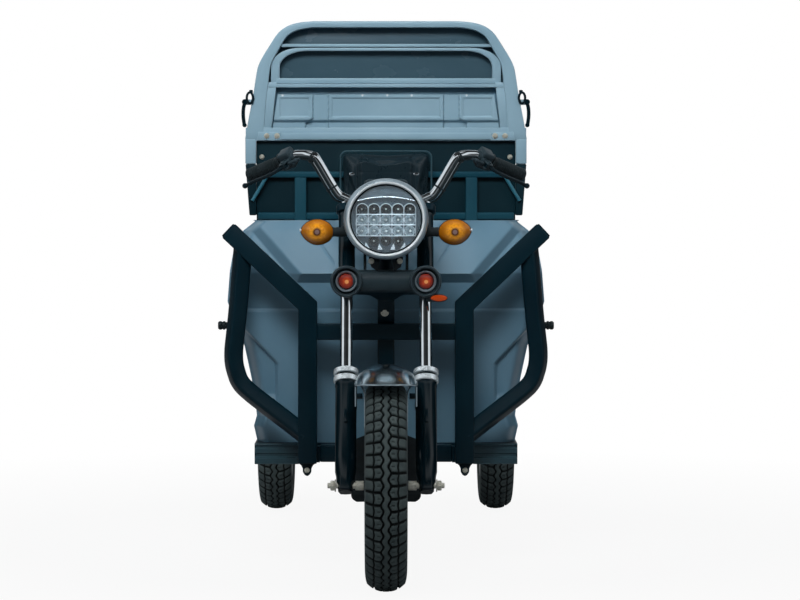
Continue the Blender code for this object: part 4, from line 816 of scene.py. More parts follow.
def rim(centre, hub_half, bore):
    """A pressed steel rim: its well, a dished disc with round holes, the hub and its nuts."""

    def spot(radius, share):
        turn = 2 * math.pi * share
        return Vector(centre) + Vector((0, radius * math.cos(turn), radius * math.sin(turn)))

    well = [
        (-0.044, 0.1655), (-0.0425, 0.1665), (-0.0405, 0.1655), (-0.0375, 0.1525), (-0.03, 0.1515),
        (-0.0225, 0.1445), (0.0225, 0.1445), (0.03, 0.1515), (0.0375, 0.1525), (0.0405, 0.1655),
        (0.0425, 0.1665), (0.044, 0.1655), (0.0415, 0.15), (0.03, 0.147), (0.0235, 0.14), (-0.0235, 0.14),
        (-0.03, 0.147), (-0.0415, 0.15),
    ]
    barrel = turned(well, "X", centre, 72)
    dish = [(0.02, 0.1405), (0.022, 0.13), (0.012, 0.118), (0.01, 0.094), (0.019, 0.076), (0.019, 0.032)]
    dish_wall = dish + [(x - 0.0035, r) for x, r in reversed(dish)]
    disc = turned(dish_wall, "X", centre, 72)
    holes = []
    nuts = []
    for i in range(10):
        holes.append(rod(0.0125, "X", spot(0.106, (i + 0.5) / 10), -0.02, 0.05, 20))
    for i in range(5):
        nuts.append(hexagon(0.0095, "X", spot(0.052, i / 5), 0.018, 0.029))
    disc = cut(disc, *holes)
    hub_profile = [
        (-hub_half, bore), (-hub_half, 0.021), (-hub_half + 0.006, 0.023), (-0.02, 0.03), (0.01, 0.034),
        (0.026, 0.034), (0.028, 0.024), (hub_half - 0.004, 0.022), (hub_half, 0.019), (hub_half, bore),
    ]
    hub = turned(hub_profile, "X", centre, 40)
    drum_profile = [
        (0.015, 0.05), (0.012, 0.082), (-0.018, 0.086), (-0.022, 0.09), (-0.026, 0.09), (-0.028, 0.086),
        (-0.028, 0.03), (0.015, 0.03),
    ]
    drum = turned(drum_profile, "X", centre, 48)
    return merged(barrel, disc, hub, drum), merged(*nuts)


def mirrored_x(piece, across):
    """The piece turned end for end about the wheel's middle at across."""
    turn = Matrix.Translation((across, 0, 0)) @ Matrix.Scale(-1, 4, (1, 0, 0))
    moved(piece, turn @ Matrix.Translation((-across, 0, 0)))
    piece.data.flip_normals()
    return piece


def wheels():
    places = [("front", AXLE, "front_wheel", "", 0.052, 0.0078)]
    for side in SIDES:
        name = word(side)
        centre = (side * REAR_TRACK / 2, WHEELBASE, WHEEL_RADIUS)
        places.append((f"rear_{name}", centre, f"rear_wheel_{name}", f"_{name}", 0.045, 0.0123))
    tread = tyre()
    for name, centre, body, suffix, hub_half, bore in places:
        kind = name.split("_")[0]
        copy = moved(linked(tread.data.copy()), Matrix.Translation(centre))
        put(copy, f"{name}_tyre_look", TYRE, body, f"{kind}_tyre{suffix}", sharp=60)
        made, nuts = rim(centre, hub_half, bore)
        if centre[0] < 0:
            mirrored_x(made, centre[0])
            mirrored_x(nuts, centre[0])
        put(made, f"{name}_rim_look", GLOSS, body, f"{kind}_rim{suffix}")
        put(nuts, f"{name}_wheel_nuts", ZINC, body, slot=f"{kind}_rim{suffix}")
    bpy.data.objects.remove(tread)


wheels()


# Fork
def fork_line(side):
    return (side * FORK_HALF, -FORK_OFFSET, 0)


def yoke_outline():
    front = -FORK_OFFSET - 0.026
    path = [
        (0, front + 0.01, 0), (FORK_HALF - 0.03, front + 0.006, 0), (FORK_HALF - 0.012, front, 0),
        (FORK_HALF + 0.014, front, 0), (FORK_HALF + 0.026, front + 0.012, 0), (FORK_HALF + 0.026, -0.03, 0),
        (FORK_HALF + 0.012, -0.018, 0), (0.04, -0.014, 0), (0.026, 0.01, 0), (0.014, 0.022, 0),
        (0, 0.022, 0),
    ]
    right = [(p.x, p.y) for p in bent(path, 0.01, 4)]
    return right + [(-x, y) for x, y in reversed(right[1:-1])]


def fork_leg(side):
    """The chromed tube, the leg with its axle lug, the pale bands round its top, and the wiper."""
    name = word(side)
    line = fork_line(side)
    tube = [
        (STANCHION_FOOT, 0), (STANCHION_FOOT, STANCHION_RADIUS), (UPPER_TOP + GAP, STANCHION_RADIUS),
        (UPPER_TOP + GAP, 0.017), (UPPER_TOP + 0.007, 0.017), (UPPER_TOP + 0.009, 0.015),
        (UPPER_TOP + 0.009, 0),
    ]
    put(leaned(turned(tube, "Z", line, 48)), f"fork_tube_{name}", CHROME, "steering", f"stanchion_{name}")
    leg = [
        (-0.017, 0), (-0.017, 0.015), (-0.014, 0.0175), (-0.002, 0.018), (0.006, 0.0215), (0.022, 0.0225),
        (0.034, 0.025), (0.07, LEG_RADIUS), (LEG_TOP - 0.008, LEG_RADIUS),
        (LEG_TOP - 0.006, LEG_RADIUS + 0.001), (LEG_TOP + 0.003, LEG_RADIUS + 0.001),
        (LEG_TOP + 0.005, LEG_RADIUS - 0.002), (LEG_TOP + 0.036, LEG_RADIUS - 0.002),
        (LEG_TOP + 0.036, 0.0154), (LEG_FLOOR, 0.0154), (LEG_FLOOR, 0),
    ]
    slider = turned(leg, "Z", line, 48)
    lug = block(around(line[0], 0.014), (-0.06, -0.02), (-0.016, 0.022), 0.004, 3)
    tab = block(around(line[0], 0.004), (-0.072, -0.055), (0.15, 0.185), 0.002)
    node = f"fork_leg_{name}"
    put(leaned(slider, lug, tab), f"fork_leg_look_{name}", GLOSS, "fork_lower", node)
    bands = []
    for low, high in ((LEG_TOP + 0.0055, LEG_TOP + 0.0195), (LEG_TOP + 0.026, LEG_TOP + 0.0385)):
        band = [
            (low, 0.0235), (low, 0.0285), (low + 0.0015, 0.03), (high - 0.0015, 0.03), (high, 0.0285),
            (high, 0.0235),
        ]
        bands.append(turned(band, "Z", line, 48))
    put(leaned(*bands), f"fork_seal_bands_{name}", SEAL_WHITE, "fork_lower", slot=node)
    lip = shifted(
        LEG_TOP, (0.0385, 0.0157), (0.0385, 0.024), (0.0415, 0.0215), (0.043, 0.017), (0.043, 0.0157),
    )
    put(leaned(turned(lip, "Z", line, 40)), f"fork_wiper_{name}", RUBBER, "fork_lower", slot=node)


def fork_ear(side):
    """The sleeve between the yokes, the cheek that holds the headlight, and one bolt of each yoke."""
    name = word(side)
    line = fork_line(side)
    sleeve = [
        (YOKE_TOP + GAP, 0.0205), (YOKE_TOP + 0.004, 0.0215), (YOKE_TOP + 0.012, 0.0205),
        (UPPER_CLAMP - 0.012, 0.0205), (UPPER_CLAMP - 0.004, 0.0215), (UPPER_CLAMP - GAP, 0.0205),
        (UPPER_CLAMP - GAP, 0.0182), (YOKE_TOP + GAP, 0.0182),
    ]
    cover = leaned(turned(sleeve, "Z", line, 40))
    z = HEADLIGHT_HEIGHT
    outline = shifted(
        HEADLIGHT_BACK, (-0.017, z - 0.044), (-0.01, z - 0.051), (0.015, z - 0.051), (0.078, z - 0.03),
        (0.09, z - 0.01), (0.076, z + 0.016), (0.008, z + 0.018), (-0.012, z + 0.012), (-0.018, z + 0.002),
    )
    cheek = plate(outline, "X", *span(side, 0.0905, 0.094), 0.001)
    knob = hexagon(0.009, "X", (0, HEADLIGHT_BACK, z), *span(side, 0.0942, 0.101))
    put(merged(cover, cheek, knob), f"fork_ear_look_{name}", GLOSS, "steering", f"fork_ear_{name}")
    bolts = []
    for low in (LOWER_CLAMP + 0.017, UPPER_CLAMP + 0.01):
        bolts.append(hexagon(0.006, "Y", (line[0] - side * 0.024, -0.066, low), -0.008, 0.0))
    put(leaned(*bolts), f"yoke_bolts_{name}", ZINC, "steering", slot="lower_clamp")


def yokes():
    """The lower yoke with its stem, and the upper yoke with the handlebar's risers."""
    lower = plate(yoke_outline(), "Z", LOWER_CLAMP + 0.006, YOKE_TOP, 0.004, 3)
    stem = [
        (LOWER_CLAMP + 0.01, 0), (LOWER_CLAMP + 0.01, 0.012), (UPPER_TOP + GAP, 0.012),
        (UPPER_TOP + GAP, 0.0165), (UPPER_TOP + 0.01, 0.0165), (UPPER_TOP + 0.01, 0),
    ]
    put(leaned(lower, turned(stem, "Z")), "lower_yoke", BLACK, "steering", "lower_clamp")
    upper = [plate(yoke_outline(), "Z", UPPER_CLAMP, UPPER_TOP, 0.003, 3)]
    for side in SIDES:
        x = side * RISER_ACROSS
        riser = (UPPER_TOP - 0.002, RISER_TOP)
        upper.append(block(around(x, 0.01), around(-BAR_FORWARD, 0.017), riser, 0.003, 3))
    put(leaned(*upper), "upper_yoke", BLACK, "steering", "upper_clamp")


for one_side in SIDES:
    fork_leg(one_side)
    fork_ear(one_side)
yokes()


def round_hub(radius, turn, across):
    """A place round the front hub: the turn is counted from straight up, backwards."""
    return Vector((across, radius * math.sin(turn), WHEEL_RADIUS + radius * math.cos(turn)))


def mudguard():
    """The chromed dome over the tyre, with its rolled lip, stays and leg brackets."""

    def dome_point(share, across):
        lean = math.pi * (across - 0.5)
        start = blend(math.radians(-13), math.radians(-30.8), math.cos(lean) ** 0.8)
        half = blend(0.0715, 0.0515, step(share, 0.22, 0.62))
        turn = blend(start, math.radians(61.5), share)
        return round_hub(0.2455 + 0.0425 * math.cos(lean), turn, half * math.sin(lean))

    rows = grid(40, 28, dome_point)
    border = rows[0] + [row[-1] for row in rows[1:]] + list(reversed(rows[-1][:-1]))
    border += [row[0] for row in reversed(rows[1:-1])]
    lip = []
    count = len(border)
    for i in range(count):
        along = (border[(i + 1) % count] - border[i - 1]).normalized()
        out = (border[i] - Vector((0, border[i].y, WHEEL_RADIUS))).normalized()
        out = (out - along * out.dot(along)).normalized()
        other = along.cross(out)
        lip.append([border[i] + out * a + other * b for a, b in circle(0.0022, 10)])
    parts = [thickened(sheet(rows), 0.0018), from_rings(lip, closed_round=True)]
    for side in SIDES:
        path = [(side * 0.0712, -0.014, 0.4905), (side * 0.0712, -0.006, 0.438)]
        parts.append(swept(path, circle(0.0026, 10)))
    # The dome's blue tint is a painted reflection.
    put(merged(*parts), "mudguard_dome", GUARD_CHROME_BLUE_REFLECTION, "fork_lower", "front_fender", sharp=50)
    for side in SIDES:
        inner = FORK_HALF - LEG_RADIUS + 0.0005
        upper = block(span(side, 0.056, inner), (-0.048, -0.032), (0.2235, 0.233), 0.0015)
        lower = block(span(side, 0.069, inner), (-0.05, -0.036), (0.193, 0.209), 0.0015)
        bracket = leaned(upper, lower)
        put(bracket, f"mudguard_bracket_{word(side)}", BLACK, "fork_lower", slot="front_fender")


def mud_flap():
    """The black flap behind the tyre, with its shallow ridges and rounded foot."""

    def flap_point(share, across):
        turn = blend(math.radians(62.1), math.radians(104), share)
        spread = blend(0.05, 0.0775, step(share, 0.15, 0.24)) + 0.008 * step(share, 0.79, 0.84)
        if share > 0.92:
            spread *= math.sqrt(1 - ((share - 0.92) / 0.08) ** 2 * 0.3)
        reach = 2 * across - 1
        ridge = 0.0015 * math.sin(share * 40)
        return round_hub(0.271 + ridge + 0.004 * abs(reach) ** 3, turn, spread * reach)

    flap = thickened(sheet(grid(48, 16, flap_point)), 0.003)
    put(flap, "mud_flap_look", RUBBER, "fork_lower", "mud_flap")


def front_axle():
    spacers = []
    nuts = []
    out = FORK_HALF + 0.0225
    for side in SIDES:
        spacers.append(rod(0.0115, "X", AXLE, *span(side, 0.0523, FORK_HALF - 0.0235), 32))
        spacers.append(rod(0.015, "X", AXLE, *span(side, out, out + 0.003), 28))
        nuts.append(hexagon(0.013, "X", AXLE, *span(side, out + 0.003, out + 0.013)))
        nuts.append(rod(0.0065, "X", AXLE, *span(side, out + 0.012, out + 0.02), 20))
    spacers.append(rod(0.0072, "X", AXLE, -0.118, 0.118, 20))
    put(merged(*spacers, *nuts), "front_axle_look", ZINC, "fork_lower", "front_axle")


mudguard()
mud_flap()
front_axle()


def oval(height, across, up):
    """The outline of the small amber reflector at a height."""
    return [(0.128 + across * a, height + up * b) for a, b in circle(1.0, 36)]


def fork_cover():
    """The shroud in front of the lower yoke, with a small lamp at each end."""
    z = COVER_HEIGHT
    y = COVER_FRONT
    section = []
    reaches = (0.0275, 0.027, 0.0262, 0.0255, 0.0262, 0.027, 0.0275)
    for degrees, reach in zip(range(90, -91, -30), reaches):
        turn = math.radians(degrees)
        section.append((y + 0.03 - 0.02 * math.cos(turn), z + reach * math.sin(turn)))
    section += [(y + 0.046, z - 0.0265), (y + 0.046, z + 0.0265)]
    parts = [plate(section, "X", -FORK_HALF, FORK_HALF, 0.001)]
    ring = [
        (0.05, 0.03), (0.05, 0.0355), (0.014, 0.0384), (0.006, 0.0388), (0.0016, 0.0374), (0.0, 0.0345),
        (0.0006, 0.0328), (0.004, 0.0318), (0.017, 0.0305), (0.0185, 0.0264), (0.05, 0.0262),
    ]
    for side in SIDES:
        parts.append(turned(ring, "Y", (side * FORK_HALF, y, z), 64))
    put(merged(*parts), "fork_shroud", PLASTIC, "steering", "fork_cover")
    bezel = [
        (0.018, 0.0262), (0.011, 0.0258), (0.0085, 0.0248), (0.0085, 0.0236), (0.012, 0.0212),
        (0.018, 0.0195), (0.018, 0.0262),
    ]
    bowl = [(0.03, 0), (0.026, 0.01), (0.0175, 0.0198), (0.0155, 0.0198), (0.024, 0.0095), (0.0275, 0)]
    lens = [(0.02, 0), (0.02, 0.018), (0.014, 0.0186), (0.0105, 0.0165), (0.008, 0.01), (0.0072, 0)]
    for side in SIDES:
        name = word(side)
        x = side * FORK_HALF
        # The bright orange core is a painted highlight.
        glow = lens_finish(
            f"spot_lens_{name}", (0.5, 0.055, 0.014), (0.2, 0.014, 0.006), (0.8, 0.34, 0.1),
            (x + 0.001, y - MIDDLE + 0.008, z - 0.001), 0.0135,
        )
        for profile, sides, part, material in (
            (bezel, 48, "bezel", DULL_RIM), (bowl, 40, "bowl", GLOSS), (lens, 40, "lamp", glow),
        ):
            shape = turned(profile, "Y", (x, y, z), sides)
            put(shape, f"spot_{part}_{name}", material, "steering", slot="fork_cover")
    reflector = plate(oval(z - 0.0405, 0.02, 0.0078), "Y", y + 0.004, y + 0.011, 0.0022, 3)
    put(reflector, "amber_reflector", REFLECTOR_AMBER, "steering", slot="fork_cover")
    holder = plate(oval(z - 0.0405, 0.0222, 0.0098), "Y", y + 0.011, y + 0.017, 0.002)
    tongue = block((0.098, 0.122), (y + 0.014, y + 0.02), (z - 0.05, z - 0.015), 0.002)
    put(merged(holder, tongue), "reflector_holder", PLASTIC, "steering", slot="fork_cover")


fork_cover()


# Lamps
LAMP_SEAT = HEADLIGHT_BACK - 0.035
LAMP_FACE = LAMP_SEAT - 0.017
PAN_BACK = LAMP_FACE + 0.02
LAMP_CENTRE = (0, 0, HEADLIGHT_HEIGHT)
LAMP_WIDER = 1.012
LAMP_LOWER = 0.968
LAMP_COLUMNS = (-0.0555, -0.0278, 0.0, 0.0278, 0.0555)
LAMP_ROWS = (0.0237, -0.0021, -0.0288, -0.053)
CELL_HALF = 0.0139
CELL_FRONT = LAMP_FACE + 0.0045
WIRE_ROUND = circle(0.0011, 8)


def lamp_piece(shape, name, material, node="", slot="", sharp=34):
    """Puts a piece of the headlight, which is a little wider than high."""
    middle = Vector(LAMP_CENTRE)
    squash = Matrix.Diagonal((LAMP_WIDER, 1, LAMP_LOWER, 1))
    squash = Matrix.Translation(middle) @ squash @ Matrix.Translation(-middle)
    put(moved(shape, squash), name, material, "headlight", node, slot, sharp)


def lamp_ring(profile, sides=72):
    return turned(profile, "Y", LAMP_CENTRE, sides)


def headlight():
    """The shell, the rim with its bright bead, the gasket, the glass, and the pan behind it."""
    bowl = shifted(
        LAMP_SEAT, (0.119, 0), (0.117, 0.02), (0.11, 0.042), (0.095, 0.06), (0.072, 0.075), (0.04, 0.086),
        (0.01, 0.089), (0, 0.0893), (0, 0.086), (0.04, 0.083), (0.072, 0.072), (0.106, 0.04), (0.114, 0),
    )
    shell = [lamp_ring(bowl, 64)]
    for side in SIDES:
        ends = span(side, 0.08, 0.09)
        shell.append(rod(0.011, "X", (0, HEADLIGHT_BACK, HEADLIGHT_HEIGHT), *ends, 24))
    put(merged(*shell), "headlamp_shell", GLOSS, "headlight", "headlight_shell")
    ring = shifted(
        LAMP_SEAT, (0.01, 0.09), (0.01, 0.0985), (0.004, 0.1005), (-0.006, 0.1012), (-0.016, 0.1006),
        (-0.023, 0.0985), (-0.027, 0.0955), (-0.0285, 0.092), (-0.0275, 0.089), (-0.024, 0.087),
        (-0.018, 0.0862), (-0.006, 0.0862), (-0.006, 0.088), (-0.001, 0.0895),
    )
    lamp_piece(lamp_ring(ring, 96), "headlamp_rim", DULL_RIM, "headlight_rim", sharp=60)
    bead = shifted(
        LAMP_SEAT, (-0.025, 0.0868), (-0.029, 0.0876), (-0.0306, 0.0896), (-0.0305, 0.092),
        (-0.027, 0.0936),
    )
    lamp_piece(lamp_ring(bead, 96), "headlamp_bead", BRIGHT, slot="headlight_rim", sharp=60)
    gasket = shifted(LAMP_FACE, (0.004, 0.083), (-0.003, 0.083), (-0.003, 0.0862), (0.004, 0.0862))
    lamp_piece(lamp_ring(gasket), "headlamp_gasket", RUBBER, slot="headlight_rim")
    lens = shifted(
        LAMP_FACE, (0, 0), (0, 0.0829), (-0.003, 0.0829), (-0.008, 0.07), (-0.012, 0.05), (-0.015, 0.025),
        (-0.016, 0),
    )
    lamp_piece(lamp_ring(lens), "headlamp_lens", GLASS, "headlight_lens", sharp=60)
    pan = [
        (PAN_BACK + 0.002, 0), (PAN_BACK + 0.002, 0.0845), (LAMP_FACE + 0.001, 0.0845),
        (LAMP_FACE + 0.001, 0.0825), (PAN_BACK - 0.002, 0.079), (PAN_BACK - 0.002, 0),
    ]
    lamp_piece(lamp_ring(pan), "headlamp_pan", LAMP_PAN, slot="headlight_lens")


def lamp_cup(spot):
    """The small reflector round one light."""
    cup = [
        (PAN_BACK - 0.001, 0.0112), (LAMP_FACE + 0.006, 0.013), (CELL_FRONT, 0.0131), (CELL_FRONT, 0.0122),
        (LAMP_FACE + 0.012, 0.009), (LAMP_FACE + 0.0165, 0.0045), (LAMP_FACE + 0.017, 0),
        (PAN_BACK - 0.001, 0),
    ]
    return turned(cup, "Y", spot, 24)


def lamp_led(spot, radius):
    dome = shifted(
        LAMP_FACE, (0.0152, 0), (0.0152, radius), (0.013, 0.9 * radius), (0.0115, 0.5 * radius), (0.011, 0),
    )
    return turned(dome, "Y", spot, 16)


def lamp_cells():
    """The wires between the lights, with a small arch over each light of the top row."""
    cells = []
    top = HEADLIGHT_HEIGHT + LAMP_ROWS[0]
    for z in (0.0113, -0.0144, -0.0412):
        cells.append(rod(0.0013, "X", (0, CELL_FRONT, HEADLIGHT_HEIGHT + z), -0.07, 0.07, 8))
    for x in (-0.0695, -0.0417, -CELL_HALF, CELL_HALF, 0.0417, 0.0695):
        cells.append(rod(0.0011, "Z", (x, CELL_FRONT, 0), HEADLIGHT_HEIGHT - 0.0412, top, 8))
    for x in LAMP_COLUMNS:
        scallop = []
        for i in range(13):
            turn = math.pi * i / 12
            place = (x + CELL_HALF * math.cos(turn), CELL_FRONT, top + CELL_HALF * math.sin(turn))
            scallop.append(Vector(place))
        cells.append(swept(scallop, WIRE_ROUND, (0, 1, 0)))
    return merged(*cells)


def headlight_inside():
    """The lights in their cups, the hood over them, the wires between them and the fins below."""
    cups = []
    darker_cups = []
    leds = []
    for x in LAMP_COLUMNS:
        for z in LAMP_ROWS:
            if math.hypot(x, z) > 0.074:
                continue
            spot = (x, 0, HEADLIGHT_HEIGHT + z)
            # The top and bottom rows' cups take a darker reflector finish.
            dark = z in (LAMP_ROWS[0], LAMP_ROWS[3])
            (darker_cups if dark else cups).append(lamp_cup(spot))
            leds.append(lamp_led(spot, 0.0024 if dark else 0.0034))
    brow = []
    for i in range(25):
        turn = blend(math.radians(35), math.radians(145), i / 24)
        brow.append((0.0815 * math.cos(turn), HEADLIGHT_HEIGHT + 0.0815 * math.sin(turn)))
    edge = []
    for i in range(13):
        x = blend(-0.0668, 0.0668, i / 12)
        edge.append((x, HEADLIGHT_HEIGHT + 0.0553 - 0.0095 * (x / 0.0668) ** 2))
    hood = plate(brow + edge[1:-1], "Y", LAMP_FACE + 0.004, LAMP_FACE + 0.012, 0.001)
    lamp_piece(hood, "headlamp_hood", LAMP_PAN, slot="headlight_lens")
    lower = [Vector((x, LAMP_FACE + 0.0035, z - 0.0012)) for x, z in edge]
    cups.append(swept(lower, circle(0.0014, 8), (0, 1, 0)))
    lamp_piece(lamp_cells(), "headlamp_cells", DULL_RIM, slot="headlight_lens")
    for x, lean in ((-0.044, -0.4), (-0.014, -0.15), (0.016, 0.15), (0.04, 0.45)):
        z = HEADLIGHT_HEIGHT - 0.0665 + abs(x) * 0.1
        fin = [(x - 0.006, z - 0.01), (x + 0.006, z - 0.01), (x + lean * 0.01, z + 0.006)]
        cups.append(prism(fin, "Y", LAMP_FACE + 0.004, LAMP_FACE + 0.014))
    lamp_piece(merged(*cups), "headlamp_reflector", REFLECTOR, slot="headlight_lens", sharp=40)
    lamp_piece(merged(*darker_cups), "headlamp_darker_cups", DARKER_REFLECTOR, slot="headlight_lens", sharp=40)
    lamp_piece(merged(*leds), "headlamp_leds", LED, slot="headlight_lens")


headlight()
headlight_inside()


def headlight_bracket():
    """The two struts and bolts under the headlight."""
    parts = []
    bolts = []
    for side in SIDES:
        x = side * 0.051
        parts.append(block(around(x, 0.0035), (0.196, 0.214), (0.752, 0.8), 0.0015))
        wing = sided(side, ((0.012, 0.787), (0.042, 0.787), (0.036, 0.762), (0.02, 0.752)))
        parts.append(plate(wing, "Y", 0.191, 0.195, 0.001))
    for x in (-0.0357, 0.0335):
        bolts += bolt_head(x, 0.19, 0.7765, 0.0046)
    put(merged(*parts), "headlight_struts", GLOSS, "steering", slot="fork_cover")
    put(merged(*bolts), "headlight_strut_bolts", ZINC, "steering", slot="fork_cover")


def drop_shaped(piece, place, side):
    """Narrows a round lamp towards its outer end, which points a little up."""
    for vertex in piece.data.vertices:
        share = side * (vertex.co.x - place.x) / 0.039
        if share > 0:
            height = vertex.co.z - place.z
            vertex.co.z = place.z + height * (1 - 0.17 * share * share) + 0.0025 * share * share
    return piece


def signals():
    for side in SIDES:
        place = Vector((side * SIGNAL_ACROSS, HEADLIGHT_BACK, SIGNAL_HEIGHT))
        lens = [
            (-0.022, 0), (-0.0212, 0.008), (-0.019, 0.0165), (-0.015, 0.0245), (-0.0085, 0.032),
            (-0.002, 0.0368), (0.0, 0.0374), (0.0, 0),
        ]
        egg = Matrix.Translation(place) @ Matrix.Diagonal((1.04, 1, 0.82, 1))
        shape = drop_shaped(moved(turned(lens, "Y", (0, 0, 0), 48), egg), place, side)
        tip = place + Vector((side * 0.036, 0.003, 0.0045))
        # The amber lens is lighter in the middle than at its rim, partly painted light; its dark core and
        # grey pupil are the bulb behind it.
        amber = lens_finish(
            f"amber_lens_{word(side)}", (0.78, 0.31, 0.01), (0.36, 0.115, 0.003), (0.08, 0.026, 0.005),
            (place.x, place.y - MIDDLE - 0.02, place.z), 0.028, (0.2, 0.13, 0.12),
        )
        put(shape, f"signal_lens_{word(side)}", amber, "steering", slot=f"signal_{word(side)}", sharp=60)
        base = [
            (0.0003, 0), (0.0003, 0.0385), (0.0015, 0.0392), (0.004, 0.039), (0.012, 0.034), (0.022, 0.024),
            (0.03, 0.012), (0.0335, 0),
        ]
        shell = drop_shaped(moved(turned(base, "Y", (0, 0, 0), 48), egg), place, side)
        start, end = span(side, 0.0945, SIGNAL_ACROSS - 0.02)
        profile = [(start, 0), (start, 0.012)]
        for i in range(1, 9):
            profile.append((blend(start, end, i / 9), 0.012 if i % 2 else 0.0108))
        profile += [(end, 0.012), (end, 0)]
        stalk = turned(profile, "X", (0, HEADLIGHT_BACK + 0.01, SIGNAL_HEIGHT), 24)
        put(merged(shell, stalk), f"signal_body_{word(side)}", RUBBER, "steering", f"signal_{word(side)}")
        stud = rod(0.0038, "X", tip, *span(side, 0.0, 0.0065), 14)
        put(stud, f"signal_tip_{word(side)}", BRIGHT, "steering", slot=f"signal_{word(side)}")


signals()
headlight_bracket()


# Handlebar and controls
BAR_MIDDLE = STEERING @ Vector((0, -BAR_FORWARD, BAR_HEIGHT))
BAR_STEPS = (
    (0.0, 0.0, 0.0), (0.055, 0.0, -0.002), (0.082, 0.0, -0.0025), (0.104, -0.002, 0.0045),
    (0.124, -0.004, 0.02), (0.1695, -0.006, 0.096), (0.179, -0.003, 0.106), (0.195, 0.004, 0.1105),
    (0.22, 0.02, 0.111),
)


def bar_points(side):
    return [BAR_MIDDLE + Vector((side * x, back, up)) for x, back, up in BAR_STEPS]


def grip_frame(side):
    """The grip's frame: X runs out along the grip and Y points ahead of it."""
    outward = Vector((side * 0.122, 0.086, -0.05)).normalized()
    ahead = Vector((0, -1, -0.45))
    ahead = (ahead - outward * ahead.dot(outward)).normalized()
    turn = Matrix((outward, ahead, outward.cross(ahead))).transposed().to_4x4()
    return Matrix.Translation(bar_points(side)[-1]) @ turn


def bar_path(side):
    straight = [grip_frame(side) @ Vector((along, 0, 0)) for along in (0.01, 0.15)]
    return smooth_path(bar_points(side), 6) + straight


def handlebar():
    path = list(reversed(bar_path(-1)[1:])) + bar_path(1)
    put(swept(path, circle(BAR_RADIUS, 28), (0, 0, 1)), "chrome_handlebar", CHROME, "steering", "handlebar")
    caps = []
    for side in SIDES:
        x = side * RISER_ACROSS
        cap = block(around(x, 0.011), (-0.034, 0.009), (RISER_TOP - 0.002, RISER_TOP + 0.006), 0.003, 3)
        caps.append(cap)
    put(leaned(*caps), "riser_caps", GLOSS, "steering", slot="upper_clamp")
    for side in SIDES:
        path = bar_path(side)
        cable = [p + Vector((side * 0.004, -0.0135, -0.006)) for p in path[14:-1:2]]
        cable += [path[-2] + Vector((0, -0.013, -0.006))]
        line = swept(smooth_path(cable, 3), circle(0.0032, 10), (0, 0, 1))
        second = [p + Vector((side * 0.011, -0.0085, -0.01)) for p in path[14:-1:2]]
        other = swept(smooth_path(second, 3), circle(0.0026, 10), (0, 0, 1))
        ties = []
        for index in (25, 36):
            centre = path[index]
            along = (path[index + 1] - path[index - 1]).normalized()
            ring = [(-0.0022, 0.0122), (-0.0022, 0.015), (0.0022, 0.015), (0.0022, 0.0122)]
            tie = turned(ring, "Z", (0, 0, 0), 24)
            turn = Vector((0, 0, 1)).rotation_difference(along).to_matrix().to_4x4()
            place = Matrix.Translation(centre + Vector((side * 0.003, -0.004, -0.002)))
            ties.append(moved(tie, place @ turn))
        put(merged(line, other, *ties), f"bar_cables_{word(side)}", RUBBER, "steering", slot="handlebar")


def ribbed_grip():
    """A rubber sleeve with rows of ribs, in the grip's frame."""
    start = GRIP_START
    end = GRIP_START + GRIP_LENGTH
    profile = shifted(
        end, (0, 0.0117), (0.0015, 0.0125), (0.0015, 0.014), (-0.001, 0.0168), (-0.007, 0.017),
        (-0.008, 0.015),
    )
    along = end - 0.01
    while along > start + 0.02:
        profile += shifted(along, (0, 0.015), (-0.0008, 0.0166), (-0.0034, 0.0166), (-0.0042, 0.015))
        along -= 0.0058
    profile += [(start + 0.014, 0.015), (start + 0.01, 0.0158), (start + 0.0065, 0.0195)]
    profile += shifted(start, (0.005, 0.0207), (0.001, 0.0207), (0, 0.0195), (0, 0.0117))
    return turned(profile, "X", (0, 0, 0), 36)


def switch_pod(side):
    """Two moulded halves round the bar, with the switches on the rider's face."""
    upper = block((0.012, 0.047), (-0.0185, 0.0175), (0.0006, 0.023), 0.0055, 4)
    lower = block((0.012, 0.047), (-0.0185, 0.0175), (-0.023, -0.0006), 0.0055, 4)
    seam = block((0.014, 0.045), (-0.017, 0.016), (-0.001, 0.001))
    sleeve = [(0.006, 0.0117), (0.006, 0.0145), (0.013, 0.0165), (0.013, 0.0117)]
    collar = turned(sleeve, "X", (0, 0, 0), 28)
    perch = block((0.013, 0.042), (0.014, 0.027), (-0.0085, 0.0085), 0.003, 3)
    ears = []
    for z in (-0.0068, 0.0068):
        outline = [(0.016, 0.02), (0.04, 0.02), (0.0385, 0.04), (0.02, 0.04)]
        ears.append(plate(outline, "Z", z - 0.0017, z + 0.0017, 0.0008))
    pin = hexagon(0.0042, "Z", LEVER_PIVOT, 0.0085, 0.012)
    nut = hexagon(0.0042, "Z", LEVER_PIVOT, -0.0125, -0.0085)
    adjuster = [
        (-0.02, 0), (-0.02, 0.0034), (-0.012, 0.0034), (-0.011, 0.0055), (-0.004, 0.0055), (-0.003, 0.004),
        (0.014, 0.004), (0.014, 0),
    ]
    barrel = turned(adjuster, "X", (0, 0.03, 0), 16)
    shape = [upper, lower, seam, collar, perch, barrel, pin, nut] + ears
    switches = []
    if side > 0:
        for x, z in ((0.0205, 0.01), (0.0205, -0.006), (0.0345, -0.0085)):
            switches.append(block(around(x, 0.005), (-0.0215, -0.018), around(z, 0.0035), 0.0012))
    else:
        for x, z, width in ((0.02, 0.009, 0.004), (0.032, 0.009, 0.004), (0.026, -0.009, 0.008)):
            switches.append(block(around(x, width), (-0.022, -0.018), around(z, 0.0045), 0.0015))
    return merged(*shape), merged(*switches)


